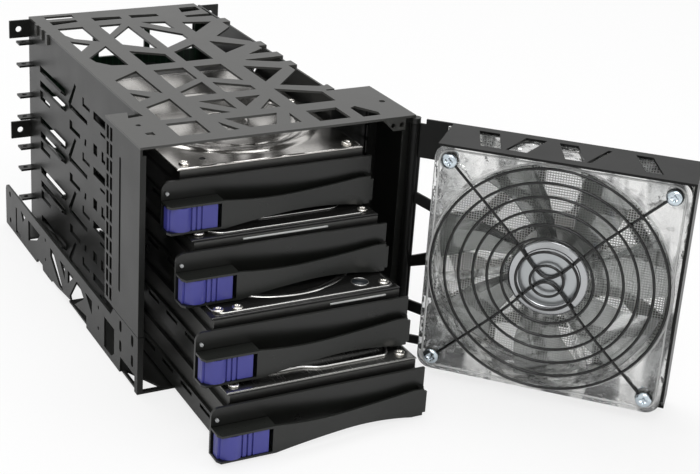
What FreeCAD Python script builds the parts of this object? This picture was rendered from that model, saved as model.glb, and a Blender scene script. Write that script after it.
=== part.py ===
# Hot-swap drive cage for three 5.25 in bays, with four drive trays and a hinged fan door.
# Frame: X to the right, Y into the cage, Z up; origin at the bottom centre of the front plane.
# The door stands open and the trays are drawn out in steps, the topmost least.
import FreeCAD, Part
import Sketcher
import math
import os
from types import SimpleNamespace

Vec = FreeCAD.Vector
UP = Vec(0, 0, 1)
BACK = Vec(0, 1, 0)
doc = FreeCAD.newDocument("DriveCage")

# ---------------------------------------------------------------- driving dimensions, mm and degrees
SIZES = [
    ("cage_width", 146.0, "width of the front section and of the lower brackets"),
    ("cage_height", 129.0, "height over the bottom and top plates"),
    ("cage_depth", 226.0, "front plane to rear edge of the plates and brackets"),
    ("sheet", 1.2, "thickness of the folded steel sheet"),
    ("box_shift", 2.5, "middle of the inner box to the left of the centre plane"),
    ("rail_gap", 1.0, "tray rails to the side panels"),
    ("cheek_depth", 36.5, "depth of the plain cheeks of the front section"),
    ("section_depth", 48.0, "depth of the front section with its contact strips"),
    ("bracket_height", 26.0, "height of the lower brackets behind the cheeks"),
    ("bracket_front", 31.0, "height of the lower brackets below the cheeks"),
    ("slot_pitch", 31.4, "spacing of the slot pattern in the side panels"),
    ("rear_tab_pitch", 32.6, "spacing of the pairs of small tabs at the rear edges"),
    ("tray_pitch", 28.4, "height from one tray to the next"),
    ("tray_lift", 0.3, "air below the lowest tray face"),
    ("tray_home", 35.5, "front of a tray face from the front plane when home"),
    ("face_over", 5.0, "tray face past the left side panel"),
    ("face_short", 2.5, "tray face short of the right side panel"),
    ("face_height", 23.4, "height of the fixed wall of a tray face"),
    ("face_sheet", 1.5, "thickness of the fixed wall of a tray face"),
    ("grip_height", 14.3, "height of the swinging handle"),
    ("grip_depth", 9.5, "depth of the finger trough behind the handle"),
    ("grip_wall", 1.3, "wall of the handle"),
    ("grip_ease", 5.3, "how far the right end of the handle lies behind its left end"),
    ("latch_length", 27.0, "length of the latch end of the handle"),
    ("latch_travel", 1.6, "sideways travel of the latch button"),
    ("hinge_wire", 0.7, "radius of the handle's hinge pin"),
    ("drive_width", 101.6, "standard 3.5 in drive"),
    ("drive_length", 147.0, "standard 3.5 in drive"),
    ("drive_height", 26.1, "standard 3.5 in drive"),
    ("tray_floor", 1.0, "floor of the tray under the drive"),
    ("tray_rail", 1.2, "side rails of the tray"),
    ("rail_height", 10.0, "height of the side rails of the tray"),
    ("play", 0.3, "clearance between pieces that seat in each other"),
    ("running", 0.1, "running clearance on runners, pins and shafts"),
    ("door_reach", 138.7, "hinge axis to the free edge of the door"),
    ("door_open", 134.7, "angle that the door stands open"),
    ("door_sheet", 1.2, "thickness of the door's sheet"),
    ("hinge_radius", 2.6, "outer radius of the door's knuckles"),
    ("door_pin", 1.3, "radius of the door's hinge pins"),
    ("fan_size", 120.0, "square fan frame"),
    ("fan_depth", 25.0, "depth of the fan frame"),
    ("fan_bore", 57.8, "radius of the air duct in the fan frame"),
    ("fan_offset", 77.0, "hinge axis to the fan's axis, along the door"),
    ("fan_stand", 0.9, "spacer ring between the filter and the fan"),
    ("screw_square", 105.0, "square pattern of the fan screws"),
    ("hub_radius", 19.5, "radius of the rotor hub"),
    ("blade_gap", 1.3, "air between the blade tips and the duct"),
    ("filter_sheet", 0.6, "thickness of the dust filter"),
    ("wire", 0.85, "radius of the guard's wire"),
    ("guard_pitch", 7.0, "spacing of the guard's rings"),
    ("board", 1.6, "thickness of the backplane board"),
]

sheet = doc.addObject("Spreadsheet::Sheet", "Sizes")
for row, (alias, value, note) in enumerate(SIZES, 1):
    sheet.set("A%d" % row, note)
    sheet.set("B%d" % row, str(value))
    sheet.setAlias("B%d" % row, alias)
doc.recompute()


class Size:
    """A length that keeps the expression it follows from, so that it can be bound to the sheet."""

    def __init__(self, value, text):
        self.value, self.text = float(value), text

    def __float__(self):
        return self.value

    def made(self, sign, value, first, second):
        return Size(value, "(%s %s %s)" % (written(first), sign, written(second)))

    def __add__(self, other):
        return self.made("+", self.value + float(other), self, other)

    def __radd__(self, other):
        return self.made("+", float(other) + self.value, other, self)

    def __sub__(self, other):
        return self.made("-", self.value - float(other), self, other)

    def __rsub__(self, other):
        return self.made("-", float(other) - self.value, other, self)

    def __mul__(self, other):
        return self.made("*", self.value * float(other), self, other)

    def __rmul__(self, other):
        return self.made("*", float(other) * self.value, other, self)

    def __truediv__(self, other):
        return self.made("/", self.value / float(other), self, other)

    def __neg__(self):
        return self.made("-", -self.value, 0, self)

    def __lt__(self, other):
        return self.value < float(other)

    def __gt__(self, other):
        return self.value > float(other)


def written(size):
    """A size as text for an expression."""
    if isinstance(size, Size):
        return size.text
    return "%.9g" % size if size >= 0 else "(%.9g)" % size


d = SimpleNamespace(**{alias: Size(sheet.get(alias), "Sizes." + alias) for alias, value, note in SIZES})

TRAY_COUNT = 4
TRAY_OUT = [44.5, 64.0, 89.5, 109.5]     # how far each tray is drawn out, top to bottom
BLADES = 7
GUARD_RINGS = 8

# ---------------------------------------------------------------- places worked out from the sizes
half = d.cage_width / 2
mid = -d.box_shift                                    # middle of the inner box
box_in = d.drive_width / 2 + d.play + d.tray_rail + d.rail_gap   # half of its clear width
box_left = d.sheet + box_in + d.box_shift              # centre plane to its outer faces
box_right = d.sheet + box_in - d.box_shift
floor_top = d.sheet
roof = d.cage_height - d.sheet
face_x0 = -box_left - d.face_over
face_x1 = box_right - d.face_short
hinge_clear = d.hinge_radius + d.play
DOOR = FreeCAD.Placement(Vec(half, 0, 0), FreeCAD.Rotation(UP, float(d.door_open) - 180))
fan_front = d.filter_sheet + d.fan_stand              # fan frame's outer face behind the door's skin
fan_back = fan_front + d.fan_depth
door_high = roof - 0.4 - d.door_sheet                 # underside of the door's upper flange
fan_level = door_high - 0.2 - d.fan_size / 2

nodes = []


# ---------------------------------------------------------------- helpers
def bind(item, prop, size):
    """Give a property its size, as an expression where the size follows the sheet."""
    if isinstance(size, Size):
        item.setExpression(prop, size.text)
    elif "." not in prop:
        setattr(item, prop, size)


def place(item, x, y, z, axis=UP):
    """Put a primitive's origin at a point, with its own Z along an axis."""
    item.Placement = FreeCAD.Placement(Vec(x, y, z), FreeCAD.Rotation(UP, axis))
    for prop, size in (("Placement.Base.x", x), ("Placement.Base.y", y), ("Placement.Base.z", z)):
        bind(item, prop, size)
    return item


def box(name, x0, x1, y0, y1, z0, z1):
    """A Part::Box between limits."""
    item = doc.addObject("Part::Box", name)
    bind(item, "Length", x1 - x0)
    bind(item, "Width", y1 - y0)
    bind(item, "Height", z1 - z0)
    return place(item, x0, y0, z0)


def rod(name, x, y, z, radius, height, axis=UP):
    """A Part::Cylinder from a point along an axis."""
    item = doc.addObject("Part::Cylinder", name)
    bind(item, "Radius", radius)
    bind(item, "Height", height)
    return place(item, x, y, z, axis)


def prism(name, sides, x, y, z, radius, height, axis=UP):
    """A Part::Prism from a point along an axis, for small round pieces and holes."""
    item = doc.addObject("Part::Prism", name)
    item.Polygon = sides
    bind(item, "Circumradius", radius)
    bind(item, "Height", height)
    return place(item, x, y, z, axis)


def cut(name, base, tools):
    """base less all the tools."""
    item = doc.addObject("Part::Cut", name)
    item.Base = base
    item.Tool = join(name + "_tools", tools)
    return item


def join(name, pieces):
    """All the pieces fused into one."""
    if len(pieces) == 1:
        return pieces[0]
    item = doc.addObject("Part::MultiFuse", name)
    item.Shapes = pieces
    item.Refine = True
    return item


def group(name, pieces):
    """Several solids of one sub-part that don't touch each other."""
    item = doc.addObject("Part::Compound", name)
    item.Links = pieces
    return item


def node(label, item, placement=None):
    """Name a finished sub-part and note it for export."""
    item.Label = label
    if placement is not None:
        item.Placement = placement
    nodes.append(item)


def rect(a0, a1, b0, b1):
    """Corners of a rectangle between limits."""
    return [(a0, b0), (a1, b0), (a1, b1), (a0, b1)]


def span(side, near, far):
    """Limits in x of what lies between two distances from the centre plane, on one side of it."""
    return (-far, -near) if side < 0 else (near, far)


def draw(sketch, outlines):
    """Draw closed outlines and dimension every corner from the sketch's origin.

    An outline is a circle (x, y, radius) or a list of corners. A corner with a third value starts
    an arc of that radius to the next corner, turning left where it is positive.
    """
    for outline in outlines:
        first = sketch.GeometryCount
        if isinstance(outline, tuple):
            x, y, radius = outline
            sketch.addGeometry(Part.Circle(Vec(x, y, 0), UP, float(radius)))
            dimension(sketch, "DistanceX", (-1, 1, first, 3), x)
            dimension(sketch, "DistanceY", (-1, 1, first, 3), y)
            dimension(sketch, "Radius", (first,), radius)
            continue
        edges, ends = [], []
        for count, corner in enumerate(outline):
            start = Vec(corner[0], corner[1], 0)
            stop = outline[(count + 1) % len(outline)]
            stop = Vec(stop[0], stop[1], 0)
            if len(corner) == 2:
                edges.append(Part.LineSegment(start, stop))
                ends.append((1, 2))
                continue
            turn = float(corner[2])
            chord = stop - start
            rise = math.sqrt(max(turn ** 2 - chord.Length ** 2 / 4, 0.0))
            across = Vec(-chord.y, chord.x, 0).normalize()
            middle = (start + stop) * 0.5 + across * math.copysign(rise, turn)
            low, high = (start, stop) if turn > 0 else (stop, start)
            angles = [math.atan2(point.y - middle.y, point.x - middle.x) for point in (low, high)]
            if angles[1] < angles[0]:
                angles[1] += 2 * math.pi
            edges.append(Part.ArcOfCircle(Part.Circle(middle, UP, abs(turn)), angles[0], angles[1]))
            ends.append((1, 2) if turn > 0 else (2, 1))
        sketch.addGeometry(edges)
        rules = [Sketcher.Constraint("Coincident", first + count, ends[count][1],
                                     first + (count + 1) % len(edges), ends[(count + 1) % len(edges)][0])
                 for count in range(len(edges))]
        sketch.addConstraint(rules)
        for count, corner in enumerate(outline):
            point = (-1, 1, first + count, ends[count][0])
            dimension(sketch, "DistanceX", point, corner[0])
            dimension(sketch, "DistanceY", point, corner[1])
            if len(corner) == 3:
                bend(sketch, first + count, corner, outline[(count + 1) % len(outline)])


def bend(sketch, arc, corner, stop):
    """Dimension an arc by its radius, or a half circle by its centre."""
    wide, high = float(stop[0] - corner[0]), float(stop[1] - corner[1])
    if math.hypot(wide, high) < 1.9999 * abs(float(corner[2])):
        dimension(sketch, "Radius", (arc,), corner[2] if corner[2] > 0 else -corner[2])
        return
    way = 1 if abs(wide) > abs(high) else 0
    dimension(sketch, ("DistanceX", "DistanceY")[way], (-1, 1, arc, 3), (corner[way] + stop[way]) / 2)


def dimension(sketch, kind, where, size):
    """Add one dimension and bind it to the sheet where its size follows it."""
    place_in_list = sketch.addConstraint(Sketcher.Constraint(kind, *(where + (float(size),))))
    if isinstance(size, Size):
        sketch.setExpression("Constraints[%d]" % place_in_list, size.text)


class Body:
    """A PartDesign body built from sketches on its own origin planes.

    Sketch coordinates are (x, y) on XY, (x, z) on XZ and (y, z) on YZ; limits are along the third axis.
    """

    def __init__(self, name):
        self.item = doc.addObject("PartDesign::Body", name)

    def origin(self, role):
        """One of the body's origin planes or axes."""
        return [part for part in self.item.Origin.OriginFeatures if part.Role == role][0]

    def sketch(self, plane, level, outlines, turn=None):
        """A sketch parallel to an origin plane."""
        item = self.item.newObject("Sketcher::SketchObject", self.item.Name + "Sketch")
        item.AttachmentSupport = (self.origin(plane + "_Plane"), [""])
        item.MapMode = "FlatFace"
        item.AttachmentOffset = FreeCAD.Placement(Vec(0, 0, level), FreeCAD.Rotation())
        bind(item, "AttachmentOffset.Base.z", level)
        draw(item, outlines)
        return item

    def feature(self, kind, sketch):
        """The next feature on a sketch."""
        item = self.item.newObject("PartDesign::" + kind, self.item.Name + kind)
        if sketch is not None:
            item.Profile = sketch
        self.item.Tip = item
        return item

    def pad(self, plane, low, high, *outlines):
        """Material between two levels."""
        item = self.feature("Pad", self.sketch(plane, -high if plane == "XZ" else low, outlines))
        bind(item, "Length", high - low)
        return item

    def pocket(self, plane, low, high, *outlines):
        """A cut between two levels."""
        item = self.feature("Pocket", self.sketch(plane, -low if plane == "XZ" else high, outlines))
        bind(item, "Length", high - low)
        return item

    def row(self, originals, axis, length, count, reverse=False):
        """Features repeated along an axis."""
        if count < 2:
            return None
        item = self.feature("LinearPattern", None)
        item.Originals = originals
        item.Direction = (self.origin(axis + "_Axis"), [""])
        item.Reversed = reverse
        bind(item, "Length", length)
        item.Occurrences = count
        return item

    def ring(self, originals, count):
        """Features repeated round the body's Y axis."""
        item = self.feature("PolarPattern", None)
        item.Originals = originals
        item.Axis = (self.origin("Y_Axis"), [""])
        item.Angle = 360
        item.Occurrences = count
        return item


# ---------------------------------------------------------------- top plate: an open lattice
# Window corners are drawn on a grid of 109 by 228 over the plate behind the front edge:
# x from the left side panel, y from the front.
GRID = (109.0, 228.0)
STRIP_WINDOWS = [
    [(7, 9), (23, 9), (23, 27), (7, 27)],
    [(32, 9), (38, 9), (32, 22)],
    [(37, 25), (65, 25), (58, 10), (44, 10)],
    [(71, 9), (71, 23), (65, 9)],
    [(80, 7), (97, 7), (97, 23), (80, 23)],
    [(103.5, 6), (103.5, 20), (107, 22), (114, 10), (113, 6)],
]
LATTICE_WINDOWS = [
    [(7, 33), (23, 32), (23, 62), (7, 53)],
    [(32, 33), (44, 33), (32, 45)],
    [(35, 53), (49, 53), (49, 37)],
    [(55, 53), (69, 53), (55, 39)],
    [(60, 33), (71, 46), (71, 33)],
    [(80, 33), (102, 33), (102, 48), (80, 60)],
    [(7, 62), (7, 76), (15, 67)],
    [(8, 82), (23, 71), (23, 110), (7, 98)],
    [(32, 62), (49, 62), (49, 82), (32, 70)],
    [(32, 76), (49, 88), (49, 108), (32, 108)],
    [(54, 62), (71, 62), (71, 69), (54, 80)],
    [(55, 88), (71, 78), (71, 108), (55, 108)],
    [(7, 139), (23, 158), (23, 121), (14, 123), (8, 131)],
    [(32, 118), (49, 118), (49, 134), (32, 145)],
    [(55, 118), (71, 118), (71, 147), (55, 136)],
    [(7, 152), (16, 164), (7, 172)],
    [(8, 198), (23, 198), (23, 167), (11, 176), (8, 184)],
    [(33, 158), (49, 145), (49, 192), (33, 172)],
    [(55, 145), (73, 159), (73, 168), (55, 190)],
    [(33, 179), (33, 198), (47, 198)],
    [(59, 198), (73, 195), (73, 179)],
    [(8, 206), (24, 209), (24, 213), (8, 213)],
    [(34, 208), (51, 208), (51, 213), (34, 215)],
    [(57, 208), (74, 207), (74, 212), (57, 214)],
    [(8, 218), (25, 218), (25, 224), (8, 224)],
    [(90, 211), (92, 221), (103, 221), (103, 213)],
    [(86, 65), (104, 57), (124, 57), (124, 94), (109, 90)],
    [(81, 72), (100, 91), (81, 101)],
    [(87, 110), (103, 102), (124, 104), (124, 111), (87, 111)],
    [(93, 120), (124, 120), (124, 133), (109, 131)],
    [(82, 126), (99, 137), (82, 150)],
    [(90, 158), (105, 143), (124, 143), (124, 181), (109, 178)],
    [(82, 169), (99, 187), (82, 191)],
    [(89, 200), (124, 197), (124, 204), (89, 204)],
]
EARS = [54, 98, 115.5, 137, 188]         # where the folded ears stand along the right edge
HOOKS = [191, 201, 211]                  # where the folded hooks stand along the left edge


def lattice_corner(x, y):
    """A corner of the lattice grid in the frame."""
    return -box_left + x * (box_left + box_right) / GRID[0], y * d.cage_depth / GRID[1]


def top_plate():
    """Front strip and lattice, with hooks folded down on the left and ears on the right."""
    body = Body("TopPlate")
    body.pad("XY", roof, d.cage_height, [
        (-half, 0), (half, 0), (half, d.section_depth), (box_right - 4, d.section_depth),
        (box_right - 4, d.cage_depth), (-box_left, d.cage_depth), (-box_left, d.section_depth),
        (-half, d.section_depth)])
    right, left = lattice_corner(GRID[0], 0)[0], lattice_corner(0, 0)[0]
    rises = [lattice_corner(0, y)[1] for y in EARS]
    body.pad("XY", roof, d.cage_height, *[rect(right - 9, right + d.sheet, y - 4, y + 4) for y in rises])
    notch_y = d.section_depth - 8
    body.pocket("XY", roof - 1, d.cage_height + 1,
                [(-box_left - 7, notch_y), (-box_left + 1, notch_y + 1), (-box_left - 1, d.section_depth + 12)],
                (-half + 10, 29, 1.3), (half - 6, 24, 1.6), rect(-half + 9, -half + 13, 14, 18),
                *[[lattice_corner(x, y) for x, y in window] for window in STRIP_WINDOWS])
    body.pocket("XY", roof - 1, d.cage_height + 1,
                *[[lattice_corner(x, y) for x, y in window] for window in LATTICE_WINDOWS])
    ears = []
    for y in rises:
        ears += [[(y - 4, roof - 2, 4.0), (y + 4, roof - 2), (y + 4, d.cage_height), (y - 4, d.cage_height)],
                 (y, roof - 2.4, 1.5)]
    body.pad("YZ", right, right + d.sheet, *ears)
    hooks = [lattice_corner(0, y)[1] for y in HOOKS]
    body.pad("XY", roof - 5, d.cage_height, *[rect(left - d.sheet, left, y - 2.5, y + 1.5) for y in hooks])
    x0, x1, drop = box_right + 2.6, half - 2 * hinge_clear, 6.0
    body.pad("XZ", 0 * d.sheet, d.sheet,
             [(x0 + drop, roof - drop), (x1, roof - drop), (x1, d.cage_height), (x0, d.cage_height), (x0, roof)],
             (x0 + 5.8, roof - 3.2, 1.3), (x0 + 10.6, roof - 3.2, 1.3))
    return body.item


# The panels' slots leave room at the top for the ears and hooks.
EAR_DROP = 7.0

# ---------------------------------------------------------------- side panels with slots and louvres
# One level's slots: corners (y, z) from the panel's front edge and from the level's line.
UPPER_SLOTS = [
    [(74, 0), (104, 0), (106, 3), (95, 17), (92.5, 16), (101.5, 3), (74, 2.5)],
    [(70, 8.5), (82, 8.5), (82, 13.5), (79.5, 13.5), (79.5, 10.5), (70, 10.5)],
    [(44, 7), (64, 7), (64, 11.5), (44, 11.5)],
    [(44, 2), (53, 2), (53, 3.6), (44, 3.6)],
    [(14, 6), (34, 6), (34, 11), (14, 11)],
]
LOWER_SLOTS = [
    [(44, -12.5), (51, -12.5), (51, -6.5), (48, -6.5), (48, -10.5), (44, -10.5)],
    [(58, -12.5), (64, -12.5), (64, -6.5), (58, -6.5)],
    [(86, -12), (104, -12), (104, -6.5), (99, -6.5), (99, -9.5), (86, -9.5)],
    [(76, -13), (79, -13), (78, -9), (75.5, -9)],
    [(140, -12), (158, -12), (158, -6.5), (153, -6.5), (153, -9.5), (140, -9.5)],
    [(12, -12), (30, -12), (30, -8), (12, -8)],
]
LOUVRES = (112, 46.0, 4.0)               # start, length and height of the louvres
LOUVRE_RISES = (4.5, -4.5)               # the pair of louvres above and below a level's line
PANEL_LINE = 97.0                        # height of the uppermost level's line


def levels(lowest):
    """How many levels of the slot pattern fit above the floor."""
    return int((PANEL_LINE + lowest - float(floor_top) - 1) / float(d.slot_pitch)) + 1


def side_panel(side):
    """A side panel with its slots and louvres, which repeat down the levels."""
    body = Body("Panel")
    y0 = d.section_depth - d.sheet
    outer = box_left if side < 0 else box_right
    x0, x1 = span(side, outer - d.sheet, outer)
    stretch = (d.cage_depth - y0) / 179.2
    body.pad("YZ", x0, x1, rect(y0, d.cage_depth, floor_top, roof))
    for slots, rise in ((UPPER_SLOTS, LOUVRE_RISES[0]), (LOWER_SLOTS, LOUVRE_RISES[1])):
        start, low = y0 + LOUVRES[0] * stretch, PANEL_LINE + rise
        outlines = [[(y0 + y * stretch, PANEL_LINE + z) for y, z in slot] for slot in slots]
        outlines.append(rect(start, start + LOUVRES[1] * stretch, low, low + LOUVRES[2]))
        slot_cut = body.pocket("YZ", x0 - 1, x1 + 1, *outlines)
        foot, away = side * outer, side
        flap = body.pad("XZ", start - 1, start + LOUVRES[1] * 0.55 * stretch,
                        [(foot - away * d.sheet, low), (foot, low), (foot + away * 3.0, low + 2.6),
                         (foot + away * 2.4, low + 3.4)])
        count = levels(min([z for slot in slots for y, z in slot] + [rise - 2]))
        body.row([slot_cut, flap], "Z", (count - 1) * d.slot_pitch, count, True)
    return body.item


# ---------------------------------------------------------------- front section
LUG_LOW_TOP = floor_top + 2.0             # the plates that hold the door's pins
LUG_HIGH_BASE = roof - 2.8


def cheek(side):
    """A wall of the front section with a folded front edge, a pressed groove and a rear return."""
    body = Body("Cheek")
    low = d.bracket_front + d.play
    front = 0 * d.sheet if side < 0 else hinge_clear
    wide = 3.0 if side < 0 else 5.5
    x0, x1 = span(side, half - d.sheet, half)
    body.pad("YZ", x0, x1, rect(front, d.cheek_depth, low, roof))
    x0, x1 = span(side, half - wide, half)
    body.pad("XZ", front, front + d.sheet, rect(x0, x1, low, LUG_HIGH_BASE - d.play))
    x0, x1 = span(side, half - 6.0, half)
    body.pad("XZ", d.cheek_depth - d.sheet, d.cheek_depth, rect(x0, x1, low, roof))
    groove_y = d.cheek_depth * 0.72
    x0, x1 = span(side, half - 0.5, half + 1)
    body.pocket("YZ", x0, x1, [(groove_y + 1.2, low + 14), (groove_y + 1.2, roof - 14, 1.2),
                               (groove_y - 1.2, roof - 14), (groove_y - 1.2, low + 14, 1.2)])
    return body.item


def contact_strip(side):
    """Sprung contact strip behind a cheek: two columns of small windows between crossbars."""
    body = Body("Strip")
    low = d.bracket_front + d.play
    y0, y1 = d.cheek_depth, d.section_depth
    x0, x1 = span(side, half - 1.0, half - 0.2)
    body.pad("YZ", x0, x1, rect(y0, y1, low, roof))
    rows = int(float(roof - low - 4) / 8.2)
    step = (roof - low - 3) / rows
    cells = [rect(y0 + (y1 - y0) * along, y0 + (y1 - y0) * along + 3.2, low + 2, low + 0.4 + step)
             for along in (0.12, 0.55)]
    first = body.pocket("YZ", x0 - 1, x1 + 1, *cells)
    body.row([first], "Z", step * (rows - 1), rows)
    x0, x1 = span(side, box_left if side < 0 else box_right, half - 0.2)
    body.pad("XZ", y1 - d.sheet, y1, rect(x0, x1, low, roof))
    return body.item


# ---------------------------------------------------------------- lower brackets
BRACKET_WINDOWS = [
    [(33, 6), (37, 3), (48, 3), (48, 20), (33, 20)],
    [(67, 20), (78, 20), (67, 12)],
    [(80, 15), (87, 20), (92, 20), (104, 6), (102, 3), (98, 3)],
    [(97, 20), (107, 20), (107, 12)],
    [(112, 20), (121, 20), (112, 12)],
    [(115, 4), (133, 20), (138, 20), (138, 15), (122, 4)],
    [(157, 20), (180, 20), (180, 7), (163, 14)],
    [(186, 19), (195, 20), (191, 14)],
    [(196, 4), (203, 4), (203, 18), (205.5, 18), (205.5, 2), (196, 2)],
]
BRACKET_FOOT = [(4, 0), (4, 9), (24, 9), (25, 0), (76, 0), (76, 7), (125, 1.5), (134, 1.5), (136, 0),
                (152, 0), (153, 3), (162, 3), (164, 0)]
BRACKET_HOLES = [(217, 22, 1.7), (217, 5, 1.7), (57, 21, 1.0), (57, 9, 1.0), (147, 21, 1.0), (147, 9, 1.0)]
BRACKET_SLOTS = [(7.5, 26), (24, 26), (7.5, 15), (24, 15)]


def bracket(side):
    """Side rail at the foot of the cage, as wide apart as the bay, with mounting holes."""
    body = Body("Bracket")
    scale = d.cage_depth / 226.0
    front = 0 if side < 0 else hinge_clear
    x0, x1 = span(side, half - d.sheet, half)
    body.pad("YZ", x0, x1, [(front, 0)] + [(y * scale, z) for y, z in BRACKET_FOOT] + [
        (d.cage_depth, 0), (d.cage_depth, d.bracket_height - 4, 4.0), (d.cage_depth - 4, d.bracket_height),
        (d.cheek_depth + 2, d.bracket_height), (d.cheek_depth - 2, d.bracket_front),
        (front, d.bracket_front)])
    body.pocket("YZ", x0 - 1, x1 + 1, *[[(y * scale, z) for y, z in window] for window in BRACKET_WINDOWS])
    body.pocket("YZ", x0 - 1, x1 + 1, *[(y * scale, z, radius) for y, z, radius in BRACKET_HOLES])
    body.pocket("YZ", x0 - 1, x1 + 1, *[
        [(y * scale + 1.6, z - 1.5), (y * scale + 1.6, z + 1.5, 1.6),
         (y * scale - 1.6, z + 1.5), (y * scale - 1.6, z - 1.5, 1.6)] for y, z in BRACKET_SLOTS])
    if side < 0:
        body.pad("XZ", 0 * d.sheet, d.sheet, rect(-half, -half + 3.0, floor_top, d.bracket_front))
    else:
        body.pad("XZ", hinge_clear, hinge_clear + d.sheet,
                 rect(half - 5.5, half, LUG_LOW_TOP + d.play, d.bracket_front))
    return body.item


# ---------------------------------------------------------------- bottom plate
def bottom_plate():
    """Floor of the cage between the brackets, with open corners and a row of windows."""
    body = Body("BottomPlate")
    inner = half - d.sheet
    y0, y1 = d.section_depth + 60, d.cage_depth - 30
    body.pad("XY", 0 * d.sheet, floor_top, [
        (-inner, 0), (inner, 0), (inner, y0), (inner - 11, y0), (inner - 11, y1), (inner, y1),
        (inner, d.cage_depth - 2), (-inner, d.cage_depth - 2), (-inner, y1), (11 - inner, y1),
        (11 - inner, y0), (-inner, y0)])
    body.pocket("XY", -1 * d.sheet, floor_top + 1, *[
        [(sign * (inner - 1.5), 2.5), (sign * (inner - 12), 2.5), (sign * (inner - 1.5), 24)]
        for sign in (-1, 1)])
    y = d.section_depth + 12
    first = body.pocket("XY", -1 * d.sheet, floor_top + 1,
                        [(mid - 30, y), (mid + 30, y), (mid + 22, y + 24), (mid - 22, y + 24)])
    body.row([first], "Y", 114.0, 4)
    return body.item


# ---------------------------------------------------------------- rear
def rear_frame():
    """Frame round the backplane, inside the panels."""
    body = Body("RearFrame")
    y0 = d.cage_depth - d.sheet - 6
    x0, x1 = -box_left + d.sheet, box_right - d.sheet
    body.pad("XZ", y0, d.cage_depth - 6, rect(x0, x1, floor_top, roof),
             rect(x0 + 6, x1 - 6, floor_top + 5, roof - 5))
    return body.item


REAR_TAB_LINE = 114.5
REAR_TAB_SPLIT = 13.5
REAR_EARS = [117.0, 54.5]


def rear_tabs(side):
    """Small level tabs in pairs and two upright ears along the rear edge of a side panel."""
    outer = box_left if side < 0 else box_right
    pieces = []
    for pair in range(4):
        for rise in (0.0, REAR_TAB_SPLIT):
            z = REAR_TAB_LINE - pair * d.rear_tab_pitch - rise
            if z < d.bracket_height - 12 or z < floor_top + 8:
                continue
            x0, x1 = span(side, outer, outer + 8.5)
            tab = box("Tab", x0, x1, d.cage_depth - 9, d.cage_depth - 2, z, z + d.sheet)
            hole = prism("TabHole", 12, side * (outer + 5), d.cage_depth - 5.5, z - 1, 1.5, d.sheet + 2)
            pieces.append(cut("DrilledTab", tab, [hole]))
    for z in REAR_EARS:
        x0, x1 = span(side, outer, outer + 12)
        ear = box("Ear", x0, x1, d.cage_depth - d.sheet, d.cage_depth, z + 0 * d.sheet, z + 10.5 + 0 * d.sheet)
        hole = prism("EarHole", 16, side * (outer + 6.5), d.cage_depth - 3, z + 5.2, 1.8, d.sheet + 4, BACK)
        pieces.append(cut("DrilledEar", ear, [hole]))
    return group("RearTabs", pieces)


BOARD_Y = d.cage_depth - 7.2 - d.board


def backplane_board():
    """The upright board that the drives plug into."""
    return box("Board", mid - d.drive_width / 2 - 1.2, mid + d.drive_width / 2 + 1.2,
               BOARD_Y, BOARD_Y + d.board, floor_top + 3, roof - 3)


def backplane_connectors():
    """One drive socket for each tray on the front of the board."""
    pieces = []
    for level in range(TRAY_COUNT):
        z = tray_z(level) + 4.0
        shell = box("SocketShell", mid - 22, mid + 22, BOARD_Y - 7, BOARD_Y, z, z + 6)
        slot = box("SocketSlot", mid - 20, mid + 20, BOARD_Y - 8, BOARD_Y - 2, z + 2, z + 4)
        pieces.append(cut("Socket", shell, [slot]))
    return group("Sockets", pieces)


def backplane_ports():
    """Data ports and power inlets on the rear of the board."""
    y0 = BOARD_Y + d.board
    pieces = []
    for level in range(TRAY_COUNT):
        z = tray_z(level) + 8.0
        shell = box("PortShell", mid - 30, mid - 14, y0, y0 + 9, z, z + 6)
        hollow = box("PortHollow", mid - 28.6, mid - 15.4, y0 + 2, y0 + 10, z + 1.6, z + 4.4)
        pieces.append(cut("Port", shell, [hollow]))
    for count in range(2):
        z = d.bracket_height + 10 + count * 46
        shell = box("InletShell", mid + 12, mid + 34, y0, y0 + 11, z, z + 11)
        pins = [prism("InletPin", 8, mid + 15.5 + 5 * pin, y0 + 3, z + 5.5, 2.0, 9, BACK) for pin in range(4)]
        pieces.append(cut("Inlet", shell, pins))
    return group("Ports", pieces)


# ---------------------------------------------------------------- trays
def tray_z(level):
    """Underside of a tray face; level 0 is the uppermost."""
    return floor_top + d.tray_lift + (TRAY_COUNT - 1 - level) * d.tray_pitch


FLOOR_RISE = 0.9                          # tray floor above the underside of its face
DRIVE_SETBACK = 2.5                       # drive behind the face's fixed wall
KNUCKLE = 1.2                             # outer radius of the handle's knuckle
PIN_EAR = 1.4                             # thickness of the ears that hold the handle's pin


def tray_y(level):
    """Front of a tray's handle at rest."""
    return d.tray_home - TRAY_OUT[level]


def pin_place(level):
    """Axis of a handle's hinge pin."""
    return face_x1 - KNUCKLE - 1.0, tray_y(level) + d.grip_depth - KNUCKLE - d.play


def runner(side):
    """Four level ledges on a side panel, which carry the trays."""
    pieces = []
    for level in range(TRAY_COUNT):
        top = tray_z(level) + FLOOR_RISE - d.running
        low = top - 1.1 if top - 1.1 > floor_top else floor_top
        x0 = mid - box_in if side < 0 else mid + box_in - 2.4
        pieces.append(box("Ledge", x0, x0 + 2.4, d.section_depth + 2, BOARD_Y - 1, low, top))
    return group("Runners", pieces)


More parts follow.
